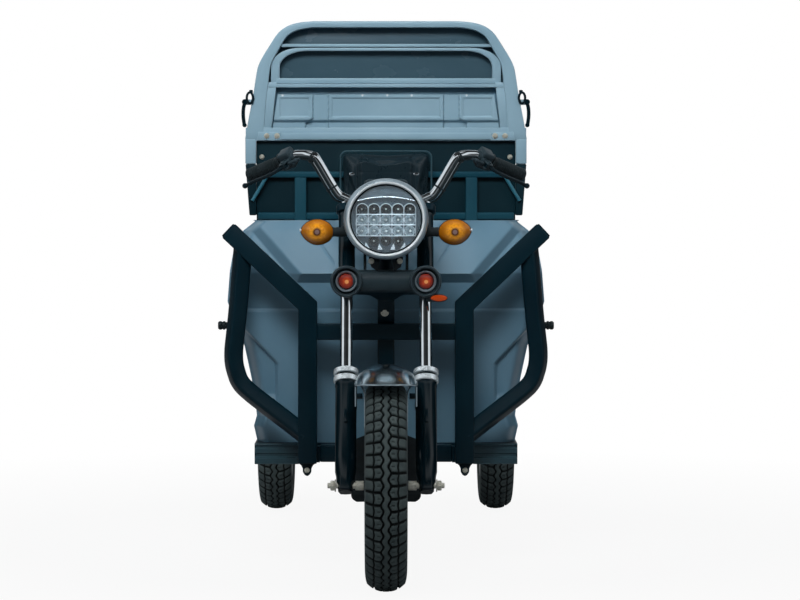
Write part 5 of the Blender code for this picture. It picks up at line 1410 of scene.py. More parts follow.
def brake_lever():
    """The forged blade, its boss and the ball at its end, in the grip's frame."""
    path = smooth_path(
        [(0.0285, 0.034, 0), (0.05, 0.0455, 0), (0.08, 0.051, 0), (0.115, 0.05, 0), (0.148, 0.052, 0)], 5,
    )
    blade = swept(path, soft_rectangle(0.0092, 0.0068, 0.003, 3), (0, 0, 1))
    boss = turned(
        [(-0.0047, 0), (-0.0047, 0.0068), (-0.004, 0.0074), (0.004, 0.0074), (0.0047, 0.0068), (0.0047, 0)],
        "Z", LEVER_PIVOT, 24,
    )
    ball = []
    for i in range(13):
        turn = math.pi * i / 12
        ball.append((-0.007 * math.cos(turn), max(0.0, 0.007 * math.sin(turn))))
    ball[0] = (-0.007, 0)
    ball[-1] = (0.007, 0)
    return merged(blade, boss, turned(ball, "X", (0.15, 0.052, 0), 24))


def cockpit():
    """What each grip carries, and the horn button beside the left one."""
    for side in SIDES:
        name = word(side)
        place = grip_frame(side)
        pod, switches = switch_pod(side)
        put(moved(pod, place), f"switch_housing_{name}", PLASTIC, "steering", f"switch_pod_{name}")
        put(moved(switches, place), f"switches_{name}", RUBBER, "steering", slot=f"switch_pod_{name}")
        lever = moved(brake_lever(), place)
        put(lever, f"lever_blade_{name}", GLOSS, f"lever_{name}", f"brake_lever_{name}")
        body, node = ("steering", "grip_left") if side > 0 else ("throttle", "throttle_grip")
        put(moved(ribbed_grip(), place), f"grip_sleeve_{name}", RUBBER, body, node)
    button = [
        (-0.022, 0), (-0.022, 0.0046), (-0.0212, 0.0056), (-0.016, 0.0058), (-0.0155, 0.0058), (-0.0155, 0),
    ]
    shape = moved(turned(button, "Y", BUTTON_PLACE, 24), grip_frame(1))
    put(shape, "horn_cap", AMBER_CAP, "horn", "horn_button")


def instrument():
    """The gauge under its window, and the lock with its key."""
    housing = [
        (-0.055, -0.03), (-0.044, -0.044), (0.044, -0.044), (0.055, -0.03), (0.055, 0.03), (0.045, 0.04),
        (-0.045, 0.04), (-0.055, 0.03),
    ]
    case = plate(housing, "Z", RISER_TOP + GAP, 0.808, 0.005, 4)
    bezel = turned([(0.807, 0.0225), (0.807, 0.027), (0.81, 0.0262), (0.81, 0.0225)], "Z", GAUGE_PLACE, 40)
    side_bezel = turned([(0.807, 0.007), (0.807, 0.01), (0.81, 0.0095), (0.81, 0.007)], "Z", KEY_PLACE, 28)
    put(leaned(case, bezel, side_bezel), "gauge_housing", PLASTIC, "steering", "instrument")
    pane = [(0.8075, 0), (0.8075, 0.0222), (0.8088, 0.0222), (0.8092, 0.015), (0.8093, 0)]
    glass = turned(pane, "Z", GAUGE_PLACE, 40)
    put(leaned(glass), "gauge_window", SMOKED, "steering", slot="instrument")
    barrel = [(0.8083, 0), (0.8083, 0.0055), (0.8125, 0.0055), (0.8133, 0.0046), (0.8133, 0)]
    lock = turned(barrel, "Z", KEY_PLACE, 24)
    bow = block(around(KEY_PLACE[0], 0.009), around(KEY_PLACE[1], 0.0013), (0.8123, 0.8323), 0.005, 4, 60)
    put(leaned(lock, bow), "key_and_lock", SATIN, "key", "ignition_key")


handlebar()
cockpit()
instrument()


# Front frame and crash bars
ARM_SHOULDER = (0.194, 0.36, 0.662)
ARM_END = (0.3895, 0.38, 0.8465)
LOOP_LINE = (
    (0.3545, 0.378, 0.815), (0.369, 0.378, 0.64), (0.3795, 0.378, 0.548), (0.3785, 0.378, 0.515),
    (0.365, 0.378, 0.47), (0.337, 0.376, 0.444), (0.2, 0.36, 0.34),
)


def front_frame():
    head = [
        (YOKE_TOP + 0.0006, 0.02), (YOKE_TOP + 0.0006, 0.029), (YOKE_TOP + 0.02, 0.029),
        (YOKE_TOP + 0.022, 0.0265), (UPPER_CLAMP - 0.022, 0.0265), (UPPER_CLAMP - 0.02, 0.029),
        (UPPER_CLAMP - 0.0006, 0.029), (UPPER_CLAMP - 0.0006, 0.02),
    ]
    tube = leaned(turned(head, "Z", (0, 0, 0), 40))
    outline = [
        (0.315, 0.69), (0.345, 0.77), (0.375, 0.8), (0.4245, 0.76), (0.4245, 0.69), (0.4245, 0.2705),
        (0.376, 0.2705), (0.376, 0.6), (0.33, 0.64),
    ]
    neck = plate(outline, "X", -0.021, 0.021, 0.005, 3)
    bar = block((-0.1722, 0.1722), (0.34, 0.3825), (0.5775, 0.618), 0.004, 3)
    foot = block((-0.1645, 0.1645), (0.3795, 0.4215), (0.2712, 0.3128), 0.003, 3)
    put(merged(tube, neck, bar, foot), "front_down_tube", BLACK, "chassis", "front_frame")
    bolt = merged(
        hexagon(0.007, "Y", (-0.003, 0, 0.647), 0.3225, 0.329),
        rod(0.0105, "Y", (-0.003, 0, 0.647), 0.3275, 0.33),
    )
    put(bolt, "down_tube_bolt", ZINC, "chassis", slot="front_frame")


LUG_OUTLINE = (
    (0.174, 0.3), (0.174, 0.271), (0.181, 0.266), (0.185, 0.258), (0.1855, 0.249), (0.19, 0.2415),
    (0.196, 0.2385), (0.202, 0.2415), (0.2065, 0.249), (0.207, 0.258), (0.211, 0.266), (0.218, 0.271),
    (0.218, 0.3),
)


def crash_bars():
    reach = TUBE / 2 + 0.0008
    square = [(-reach, -reach), (reach, -reach), (reach, reach), (-reach, reach)]
    for side in SIDES:
        name = word(side)
        shoulder = Vector((side * ARM_SHOULDER[0], *ARM_SHOULDER[1:]))
        end = Vector((side * ARM_END[0], *ARM_END[1:]))
        post = [(side * 0.195, 0.36, 0.2705), shoulder, end]
        arm = softened(swept(post, square, (0, 1, 0)), 0.0028, 3)
        line = [(side * x, y, z) for x, y, z in LOOP_LINE]
        turned_section = []
        lean = math.radians(side * -22)
        for a, b in soft_rectangle(0.042, 0.04, 0.008, 4):
            across = a * math.cos(lean) - b * math.sin(lean)
            turned_section.append((across, a * math.sin(lean) + b * math.cos(lean)))
        loop = swept(bent(line, 0.08, 10), turned_section, (0, 1, 0))
        lug = plate(sided(side, LUG_OUTLINE), "Y", 0.35, 0.356, 0.002, 2)
        along = (end - shoulder).normalized()
        plug_section = soft_rectangle(TUBE - 0.004, TUBE - 0.004, 0.008, 4)
        plug = swept([end, end + along * 0.004], plug_section, (0, 1, 0))
        bar = merged(arm, loop, lug, plug)
        put(bar, f"crash_bar_look_{name}", BAR_PAINT, "chassis", f"crash_bar_{name}")
        place = (side * 0.1962, 0, 0.2535)
        bolt = merged(hexagon(0.0045, "Y", place, 0.344, 0.3505), rod(0.0068, "Y", place, 0.3485, 0.3503))
        put(bolt, f"crash_bar_bolt_{name}", ZINC, "chassis", slot=f"crash_bar_{name}")
        knob = [
            (0.39, 0), (0.39, 0.0085), (0.402, 0.0085), (0.403, 0.0108), (0.4075, 0.0108), (0.4085, 0.0094),
            (0.411, 0.0094), (0.412, 0.0108), (0.417, 0.0108), (0.4205, 0.008), (0.4205, 0),
        ]
        shape = turned([(side * x, radius) for x, radius in knob], "X", (0, 0.43, 0.61), 28)
        put(shape, f"side_marker_{name}", RUBBER, "chassis", slot="leg_shield")


front_frame()
crash_bars()


# Leg shield and footboard
SHIELD_RIM = (
    (0.3136, 0.324), (0.352, 0.3325), (0.378, 0.325), (0.401, 0.3275), (0.473, 0.339), (0.556, 0.3565),
    (0.612, 0.3825), (0.668, 0.3985), (0.745, 0.3925), (0.795, 0.3845), (0.845, 0.3605), (0.868, 0.3305),
)
SHIELD_TOP = 0.87
FACET_TOP = (0.329, 0.869)
FACET_FOOT = (0.214, 0.74)
SHIELD_FLANGE = 0.03
SHIELD_ROWS = 240
SHIELD_COLUMNS = 280


def shield_half(z):
    """Half the shield's width at a height."""
    for (low, start), (high, end) in zip(SHIELD_RIM, SHIELD_RIM[1:]):
        if z <= high:
            return blend(start, end, (z - low) / (high - low))
    return SHIELD_RIM[-1][1]


def line_at(x, start, end):
    """The height of the line through start and end at x."""
    return start[1] + (x - start[0]) * (end[1] - start[1]) / (end[0] - start[0])


def shield_depth(across, z):
    """How far the shield's face stands back at a point, with its pressed panels."""
    reach = abs(across)
    share = reach / shield_half(z)
    back = 0.05 * step(share, 0.9, 1.0) ** 1.6 + 0.008 * step(share, 0.55, 0.9)
    back += 0.42 * max(0.0, z - FACET_FOOT[1]) + 0.045 * max(0.0, 0.65 - z)
    edge = z - line_at(reach, FACET_FOOT, FACET_TOP)
    low_side = FACET_FOOT[1] - z
    outside = low_side
    if reach > FACET_FOOT[0]:
        outside = max(low_side, -edge * 0.66)
    back += 0.021 * min(1.0, max(0.0, outside / 0.023)) - 0.004 * step(outside, 0.023, 0.09)
    back -= 0.007 * step(0.651 - z, 0.0, 0.007)
    rib = abs(line_at(reach, (0.164, 0.814), (0.134, 0.772)) - z)
    if 0.13 < reach < 0.168:
        back += 0.0025 * step(rib, 0.006, 0.0)
    pocket_edge = line_at(min(max(reach, 0.2725), 0.351), (0.351, 0.597), (0.275, 0.516))
    hollow = step(reach - 0.2725, -0.004, 0.007) * step(pocket_edge - z, -0.004, 0.004)
    back += 0.014 * hollow * step(z, 0.4, 0.44)
    return back


def leg_shield():
    def panel_point(up, share):
        z = blend(SHIELD_RIM[0][0], SHIELD_TOP, up)
        x = shield_half(z) * (2 * share - 1)
        return Vector((x, SHIELD_FRONT + 0.012 + shield_depth(x, z), z))

    rows = grid(SHIELD_ROWS, SHIELD_COLUMNS, panel_point)
    last = rows[-1]
    reach = last[len(last) // 2].y + 0.058
    for k, (back, up) in enumerate(((0.006, -0.0003), (0.022, -0.003), (0.05, -0.01))):
        row = []
        for p in last:
            y = max(p.y + 0.002 * (k + 1), min(p.y + back, reach))
            row.append(Vector((p.x * (1 - 0.004 * k), y, p.z + up)))
        rows.append(row)
    for i, row in enumerate(rows):
        flange = SHIELD_FLANGE if i <= SHIELD_ROWS else 0.002
        first = row[0] + Vector((0.001, flange, 0))
        end = row[-1] + Vector((-0.001, flange, 0))
        row.insert(0, first)
        row.append(end)
    panel = thickened(sheet(rows), 0.0025, 1)
    # The shield's colour is painted shade.
    put(panel, "leg_shield_panel", SHIELD_PAINTED_SHADE, "chassis", "leg_shield", sharp=42)


def footboard():
    """The ribbed plate with its side skirts, the pedal's bracket, and the front edge, whose lighter colour
    is a painted highlight.
    """
    boards = [block((-FLOOR_HALF, FLOOR_HALF), (0.4305, FLOOR_END), (FLOOR_TOP - 0.003, FLOOR_TOP), 0.001)]
    for i in range(11):
        rib = (FLOOR_TOP - 0.001, FLOOR_TOP + 0.0016)
        boards.append(block(around(-0.25 + 0.05 * i, 0.008), (0.52, 0.84), rib, 0.0012))
    profile = [
        (0.4345, FLOOR_TOP), (0.43, FLOOR_TOP), (0.4285, 0.31), (0.4325, 0.307), (0.4325, 0.303),
        (0.4285, 0.3005), (0.4285, 0.29), (0.433, 0.286), (0.433, 0.28), (0.4285, 0.277), (0.4285, 0.263),
        (0.4305, FLOOR_LOW), (0.4345, FLOOR_LOW),
    ]
    edges = []
    for side in SIDES:
        skirt = span(side, FLOOR_HALF - 0.0025, FLOOR_HALF)
        boards.append(block(skirt, (0.432, FLOOR_END), (FLOOR_LOW, FLOOR_TOP), 0.001))
        edges.append(prism(profile, "X", *span(side, 0.219, 0.329)))
    pedal_room = (0.608, 0.632)
    boards.append(block((-0.135, -0.105), pedal_room, (FLOOR_TOP - 0.002, 0.328), 0.0015))
    for x in (-0.1345, -0.1055):
        boards.append(block(around(x, 0.002), pedal_room, (FLOOR_TOP - 0.001, 0.355), 0.001))
    put(merged(*boards), "footboard_plate", BLACK, "chassis", "footboard")
    # The front edge carries painted highlight.
    put(merged(*edges), "footboard_edges", EDGE_PAINTED_HIGHLIGHT, "chassis", slot="footboard")


leg_shield()
footboard()


def brake_pedal():
    arm = [(0.626, 0.339), (0.626, 0.351), (0.545, 0.408), (0.537, 0.398)]
    parts = [plate(arm, "X", -0.125, -0.115, 0.0025, 2)]
    parts.append(rod(0.01, "X", (0, 0.62, 0.345), -0.131, -0.109, 24))
    tread = [(0.515, 0.391), (0.565, 0.411), (0.561, 0.419), (0.511, 0.399)]
    parts.append(plate(tread, "X", -0.15, -0.09, 0.0025, 2))
    put(merged(*parts), "pedal_arm", BLACK, "pedal", "brake_pedal")
    ribs = []
    for i in range(6):
        share = (i + 0.5) / 6
        y = blend(0.5125, 0.5605, share)
        z = blend(0.3985, 0.418, share)
        ribs.append(block((-0.147, -0.093), around(y, 0.0022), (z - 0.001, z + 0.0025), 0.0009))
    put(merged(*ribs), "pedal_ribs", RUBBER, "pedal", slot="brake_pedal")


brake_pedal()


# Seat
def seat_parts():
    low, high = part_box("seat_box")
    front = low[1] + MIDDLE
    back = high[1] + MIDDLE
    inner = block((low[0], high[0]), (front + 0.001, back), (low[2], high[2]), 0.006, 3)
    trims = [block((-0.125, 0.125), (front - 0.0005, front + 0.006), (0.37, 0.6), 0.004, 3)]
    for i in range(7):
        z = 0.42 + i * 0.02
        trims.append(block((-0.075, 0.075), (front - 0.003, front + 0.002), around(z, 0.003), 0.0015))
    put(inner, "seat_box_shell", PAINT, "chassis", "seat_box")
    put(merged(*trims), "seat_box_vents", PLASTIC, "chassis", slot="seat_box")
    low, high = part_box("battery_pack")
    case = block((low[0], high[0]), (low[1] + MIDDLE, high[1] + MIDDLE), (low[2], high[2]), 0.005, 3)
    put(case, "battery_case", PLASTIC, "chassis", "battery_pack")
    base = block((-0.16, 0.16), (0.8625, 1.1), (0.6603, 0.6633), 0.001)
    knuckles = [rod(0.0058, "X", (0, 0.852, 0.663), x - 0.012, x + 0.012, 20) for x in (-0.045, 0.0, 0.045)]
    leaf = block((-0.057, 0.057), (0.852, 0.87), (0.661, 0.663), 0.0006)
    put(merged(base, leaf, *knuckles), "seat_plate", BLACK, "seat", "seat_base")


seat_parts()


CLOTH_CELL = 0.0055
CLOTH_PRESSURE = 4.0
CLOTH_QUALITY = 6
CLOTH_FRAMES = 20


def pad_block(low, high, corner):
    """A block with rounded corners in plan, ready for blowing up."""
    width = high[0] - low[0]
    depth = high[1] - low[1]
    middle = ((low[0] + high[0]) / 2, (low[1] + high[1]) / 2)
    outline = [(middle[0] + a, middle[1] + b) for a, b in soft_rectangle(width, depth, corner, 5)]
    return prism(outline, "Z", low[2], high[2])


def blown(piece, cap, held):
    """Blows a closed form up as padded cloth. The held part of it moves least."""
    applied(piece, "REMESH", mode="VOXEL", voxel_size=CLOTH_CELL)
    rest = [v.co.copy() for v in piece.data.vertices]
    cloth = piece.modifiers.new("Cloth", "CLOTH")
    settings = cloth.settings
    settings.use_pressure = True
    settings.uniform_pressure_force = CLOTH_PRESSURE
    settings.effector_weights.gravity = 0.0
    settings.quality = CLOTH_QUALITY
    cloth.point_cache.frame_start = 1
    cloth.point_cache.frame_end = CLOTH_FRAMES
    for number in range(1, CLOTH_FRAMES + 1):
        bpy.context.scene.frame_set(number)
    applied(piece)
    bpy.context.scene.frame_set(1)
    for vertex, start in zip(piece.data.vertices, rest):
        shift = (vertex.co - start) * held(start)
        if shift.length > cap:
            shift = shift.normalized() * cap
        vertex.co = start + shift
    return piece


def shrunk(low, high, room):
    return [a + room for a in low], [b - room for b in high]


SEAT_LOW = (-0.158, 0.864, 0.6636)
SEAT_HIGH = (0.158, 1.098, 0.7386)


def seat_cushion():
    low, high = shrunk(SEAT_LOW, SEAT_HIGH, 0.008)
    low[2] = SEAT_LOW[2]
    pad = softened(pad_block(low, high, 0.045), 0.012, 3)
    pad = blown(pad, 0.024, lambda p: 0.02 + 0.98 * step(p.z, SEAT_LOW[2] + 0.004, SEAT_LOW[2] + 0.03))
    for vertex in pad.data.vertices:
        x, y, z = vertex.co
        if z > 0.7:
            middle = (SEAT_LOW[1] + SEAT_HIGH[1]) / 2
            for line in (-0.052, 0.0, 0.052):
                away = abs(y - (middle + line))
                z -= 0.006 * math.exp(-((away / 0.0055) ** 2)) * step(0.125 - abs(x), 0.0, 0.02)
        vertex.co = (
            min(max(x, SEAT_LOW[0] - 0.004), SEAT_HIGH[0] + 0.004),
            min(max(y, SEAT_LOW[1] - 0.004), SEAT_HIGH[1] + 0.004),
            min(max(z, SEAT_LOW[2]), SEAT_HIGH[2] + 0.004),
        )
    pad = applied(pad, "SUBSURF", levels=1)
    piece = put(pad, "seat_pad", LEATHER, "seat", "seat_cushion", sharp=180)
    middle = ((SEAT_LOW[0] + SEAT_HIGH[0]) / 2, (SEAT_LOW[1] + SEAT_HIGH[1]) / 2)
    width = SEAT_HIGH[0] - SEAT_LOW[0] - 0.01
    depth = SEAT_HIGH[1] - SEAT_LOW[1] - 0.01
    ring = [
        Vector((middle[0] + a, middle[1] + b, SEAT_LOW[2] + 0.014))
        for a, b in soft_rectangle(width, depth, 0.045, 8)
    ]
    put(wire(ring, 0.0028), "seat_piping", RUBBER, "seat", slot="seat_cushion", sharp=60)


seat_cushion()


# Backrest
BACKREST_HALF = 0.127
BACKREST_LOW = 0.825
BACKREST_TOP = 1.058
BACKREST_FRONT = 1.0797
BACKREST_BACK = 1.1297


def backrest():
    width = 2 * BACKREST_HALF - 0.014
    height = BACKREST_TOP - BACKREST_LOW - 0.014
    middle = (BACKREST_LOW + BACKREST_TOP) / 2
    outline = [(a, middle + b) for a, b in soft_rectangle(width, height, 0.016, 6)]
    pad = plate(outline, "Y", BACKREST_FRONT + 0.014, BACKREST_BACK - 0.012, 0.01, 3)
    pad = blown(pad, 0.016, lambda p: 0.1 + 0.9 * step(BACKREST_BACK - 0.016 - p.y, 0.0, 0.02))
    pad = applied(pad, "SUBSURF", levels=1)
    for vertex in pad.data.vertices:
        x, y, z = vertex.co
        if y < 1.1:
            inner = min(0.0745 - abs(x), 1.043 - z, z - 0.845)
            top = 0.0745 - math.hypot(max(0.0, abs(x) - 0.0545), max(0.0, z - 1.023)) - 0.0545
            if abs(x) > 0.0545 and z > 1.023:
                inner = min(inner, top)
            y += 0.006 * math.exp(-((inner / 0.0035) ** 2))
            y -= 0.005 * step(inner, 0.002, 0.014)
            y += 0.0035 * math.exp(-(((z - 0.9985) / 0.0035) ** 2)) * step(inner, 0.0, 0.006)
        vertex.co = (
            min(max(x, -BACKREST_HALF), BACKREST_HALF), min(max(y, BACKREST_FRONT - 0.004), BACKREST_BACK),
            min(max(z, BACKREST_LOW), BACKREST_TOP),
        )
    put(pad, "backrest_pad", VINYL, "chassis", "backrest", sharp=180)
    ring = []
    for a, b in soft_rectangle(2 * BACKREST_HALF - 0.006, BACKREST_TOP - BACKREST_LOW - 0.006, 0.018, 8):
        ring.append(Vector((a, BACKREST_FRONT + 0.022, middle + b)))
    # The piping carries painted highlight.
    put(wire(ring, 0.0026), "backrest_piping", EDGE_PAINTED_HIGHLIGHT, "chassis", slot="backrest", sharp=60)
    buttons = []
    for x in (-0.0915, 0.083):
        profile = shifted(
            BACKREST_FRONT, (-0.002, 0), (-0.0018, 0.006), (0, 0.0086), (0.003, 0.0095), (0.013, 0.0095),
            (0.013, 0),
        )
        squeeze = Matrix.Translation((x, 0, 0.993)) @ Matrix.Scale(0.62, 4, (0, 0, 1))
        buttons.append(moved(turned(profile, "Y", (0, 0, 0), 32), squeeze))
    put(merged(*buttons), "backrest_buttons", CHROME, "chassis", slot="backrest")


backrest()


# Guard frame over the bed's front wall
HOOP_OUTSIDE = (
    (0.031, 1.087), (0.0205, 1.147), (0.0085, 1.208), (-0.001, 1.269), (-0.0072, 1.2925), (-0.0195, 1.3165),
    (-0.037, 1.3445), (-0.0532, 1.3697), (-0.0683, 1.3862), (-0.0905, 1.3996), (-0.12, 1.4075),
    (-0.1574, 1.411),
)
HOOP_INSIDE = (
    (-0.019, 1.087), (-0.0225, 1.147), (-0.0285, 1.208), (-0.032, 1.2302), (-0.0375, 1.2806),
    (-0.0444, 1.3028), (-0.0622, 1.3341), (-0.0787, 1.3623), (-0.0918, 1.3757), (-0.1127, 1.3862),
    (-0.1425, 1.3925), (-0.16, 1.3936),
)
# Half width, front, low, top and edge of the three cross rails
GUARD_RAILS = (
    (0.384, 1.136, 1.0838, 1.12, 0.0018), (0.322, 1.1375, 1.23, 1.2398, 0.0014),
    (0.3, 1.142, 1.3405, 1.349, 0.0016),
)
FOOT_OUTLINE = ((0.3555, 0.88), (0.374, 0.88), (0.3848, 1.0205), (0.3555, 1.0205))
SIDE_PLATE = ((0.313, 1.117), (0.348, 1.117), (0.34, 1.18), (0.33, 1.244), (0.299, 1.244))
GUSSET = ((0.286, 1.085), (0.352, 1.085), (0.349, 1.108), (0.29, 1.108))
CORNER_WEB = (
    (0.299, 1.331), (0.312, 1.331), (0.312, 1.26), (0.3165, 1.26), (0.308, 1.336), (0.299, 1.3365),
)


def arch(outline_outer, outline_inner, low, high):
    """The region between two arches, each a list of right-hand (x, z) points from the foot up."""
    rings = []
    for (x, z), (a, b) in zip(mirrored(outline_outer), mirrored(outline_inner)):
        rings.append([Vector((x, low, z)), Vector((x, high, z)), Vector((a, high, b)), Vector((a, low, b))])
    return from_rings(rings)


def rounded_corner(half, top, across, up, foot, steps=12):
    """Right-hand points of an arch whose upper corner is a quarter of an ellipse."""
    points = [(half, foot)]
    for i in range(steps + 1):
        turn = math.pi / 2 * i / steps
        points.append((half - across + across * math.cos(turn), top - up + up * math.sin(turn)))
    return points


def guard_frame():
    lines = [smooth_outline([(BED_HALF + x, z) for x, z in line]) for line in (HOOP_OUTSIDE, HOOP_INSIDE)]
    frames = [softened(arch(*lines, HOOP_FRONT, HOOP_BACK), 0.0024, 2, 50)]
    for half, front, low, top, edge in GUARD_RAILS:
        frames.append(block((-half, half), (front, FRAME_BACK), (low, top), edge))
    band_out = rounded_corner(0.315, 1.3385, 0.08, 0.052, 1.2405)
    band_in = rounded_corner(0.291, 1.3302, 0.074, 0.044, 1.2405)
    frames.append(softened(arch(band_out, band_in, 1.143, FRAME_BACK), 0.0016, 2, 50))
    frames.append(block((-0.3, 0.3), (1.1425, FRAME_BACK), (1.2405, 1.2555), 0.0016))
    feet = []
    for side in SIDES:
        across = span(side, 0.3555, 0.385)
        frames.append(block(across, (HOOP_FRONT, HOOP_BACK), (1.0208, 1.089), 0.003, 3))
        feet.append(plate(sided(side, FOOT_OUTLINE), "Y", HOOP_FRONT, HOOP_BACK, 0.003))
        frames.append(plate(sided(side, SIDE_PLATE), "Y", 1.139, 1.1645, 0.0015))
        frames.append(plate(sided(side, GUSSET), "Y", 1.132, 1.1362, 0.0012))
        frames.append(block(span(side, 0.35, 0.3925), (1.147, 1.152), (1.1825, 1.1975), 0.0015))
    frames.append(block((-0.2878, 0.2878), (1.1305, 1.1362), (1.087, 1.1057), 0.002))
    put(merged(*frames), "guard_frame", PAINT, "chassis", "gantry_frame")
    corners = []
    bolts = []
    rods = []
    for side in SIDES:
        corners.append(prism(sided(side, CORNER_WEB), "Y", 1.15, 1.156))
        for x in (0.3262, 0.2981):
            bolts += bolt_head(side * x, 1.132, 1.0972, 0.005)
        bolts += bolt_head(side * 0.34, 1.148, 1.04, 0.0045)
        brace = [(side * 0.3262, 1.129, 0.986), (side * 0.366, 1.131, 0.92)]
        rods.append(swept(brace, circle(0.005, 12), (0, 1, 0)))
    put(merged(*bolts), "guard_frame_bolts", ZINC, "chassis", slot="gantry_frame")
    # The feet and corner webs carry painted shade.
    put(merged(*corners, *feet), "guard_frame_feet", PAINTED_SHADE, "chassis", slot="gantry_frame")
    # The braces carry painted shade and highlight.
    put(merged(*rods), "guard_frame_braces", BRACE_PAINTED_SHADE, "chassis", slot="gantry_frame")


guard_frame()


def panel_press(x, z):
    """How far the guard panel's face stands back, with its two sunk ribs and foot band."""
    reach = abs(x)
    flare = 0.02 * min(1.0, max(0.0, (1.147 - z) / 0.012))
    rib = step(reach, 0.155, 0.1585) * step(0.203 + flare - reach, 0.0, 0.0035)
    back = 0.009 * rib
    centre = min(0.15 - reach, z - 1.1475, 1.204 - z)
    back += 0.0035 * step(centre, 0.0, 0.005)
    side_panel = min(reach - 0.208, 0.293 - reach, z - 1.1475, 1.204 - z)
    back += 0.003 * step(side_panel, 0.0, 0.005)
    back += 0.011 * step(1.143 - z, 0.0, 0.008)
    return back


def guard_panel():
    def panel_point(up, share):
        z = blend(1.1205, 1.2085, up)
        x = blend(0.31, 0.296, up) * (2 * share - 1)
        return Vector((x, 1.1385 + panel_press(x, z), z))

    rows = grid(80, 380, panel_point)
    top = rows[-1]
    for back in (0.004, 0.012):
        rows.append([p + Vector((0, back, 0.001)) for p in top])
    front = thickened(sheet(rows), 0.0016, 1)
    put(front, "guard_panel_sheet", PAINT, "chassis", "gantry_panel", sharp=50)
    recess = block((-0.313, 0.313), (1.1655, 1.168), (1.118, 1.231), 0.0006)
    # The recess carries painted shade.
    put(recess, "guard_panel_back", SHIELD_PAINTED_SHADE, "chassis", slot="gantry_panel")
    places = (-0.283, -0.0645, 0.0036, 0.0703, 0.2207)
    clips = [rod(0.0036, "Y", (x, 0, 1.208), 1.1368, 1.144, 14) for x in places]
    put(merged(*clips), "guard_panel_clips", BRIGHT, "chassis", slot="gantry_panel")
    low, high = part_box("gantry_window")
    inner = [(BED_HALF + x + 0.007, z + 0.006) for x, z in HOOP_INSIDE[3:]]
    pane = [(x, min(z, high[2])) for x, z in mirrored(inner)]
    glass = plate(pane, "Y", low[1] + MIDDLE, high[1] + MIDDLE, 0.0006)
    put(glass, "guard_window_sheet", SMOKED, "chassis", "gantry_window")


guard_panel()


def latches():
    line = ((0.386, 1.19), (0.39, 1.172), (0.3905, 1.15), (0.3875, 1.126))
    for side in SIDES:
        name = word(side)
        path = smooth_path([(side * x, 1.138, z) for x, z in line], 5)
        arm = swept(path, soft_rectangle(0.01, 0.01, 0.003, 3), (0, 1, 0))
        hub = rod(0.008, "Y", (side * 0.386, 0, 1.19), 1.13, 1.1462, 24)
        tip = rod(0.006, "Y", (side * 0.387, 0, 1.127), 1.1325, 1.1435, 20)
        put(merged(arm, hub, tip), f"latch_lever_{name}", GLOSS, f"latch_arm_{name}", f"latch_{name}")
        ring = []
        for across, up in circle(1.0, 28):
            ring.append(Vector((side * 0.372 + 0.0085 * across, 1.129, 1.201 + 0.015 * up)))
        loop = wire(ring, 0.0034, (0, 1, 0))
        cup = block(span(side, 0.364, 0.374), (1.129, 1.1362), (1.213, 1.223), 0.0016)
        put(merged(loop, cup), f"latch_ring_{name}", GLOSS, "chassis", slot="gantry_frame")


latches()


# Cargo bed
# Half width, front, back, low, top, edge and its steps for the tailgate's cross pieces
GATE_RAILS = (
    (BED_INSIDE, GATE_FRONT, 2.3985, 0.93, 0.949, 0.004, 3),
    (BED_INSIDE, 2.385, 2.396, 0.761, 0.784, 0.004, 3),
    (BED_INSIDE, GATE_FRONT, 2.3925, 0.604, 0.618, 0.002, 2),
    (0.328, GATE_FRONT, 2.3885, 0.5952, 0.608, 0.0006, 2),
)


def wall_press(along, z):
    """How far a bed wall is pressed in between its upright ribs."""
    cell = abs(((along * 6) % 1) - 0.5)
    inside = min(0.5 - cell - 0.1, (z - 0.625) * 3.0, (0.915 - z) * 3.0)
    return 0.006 * step(inside, 0.0, 0.05)


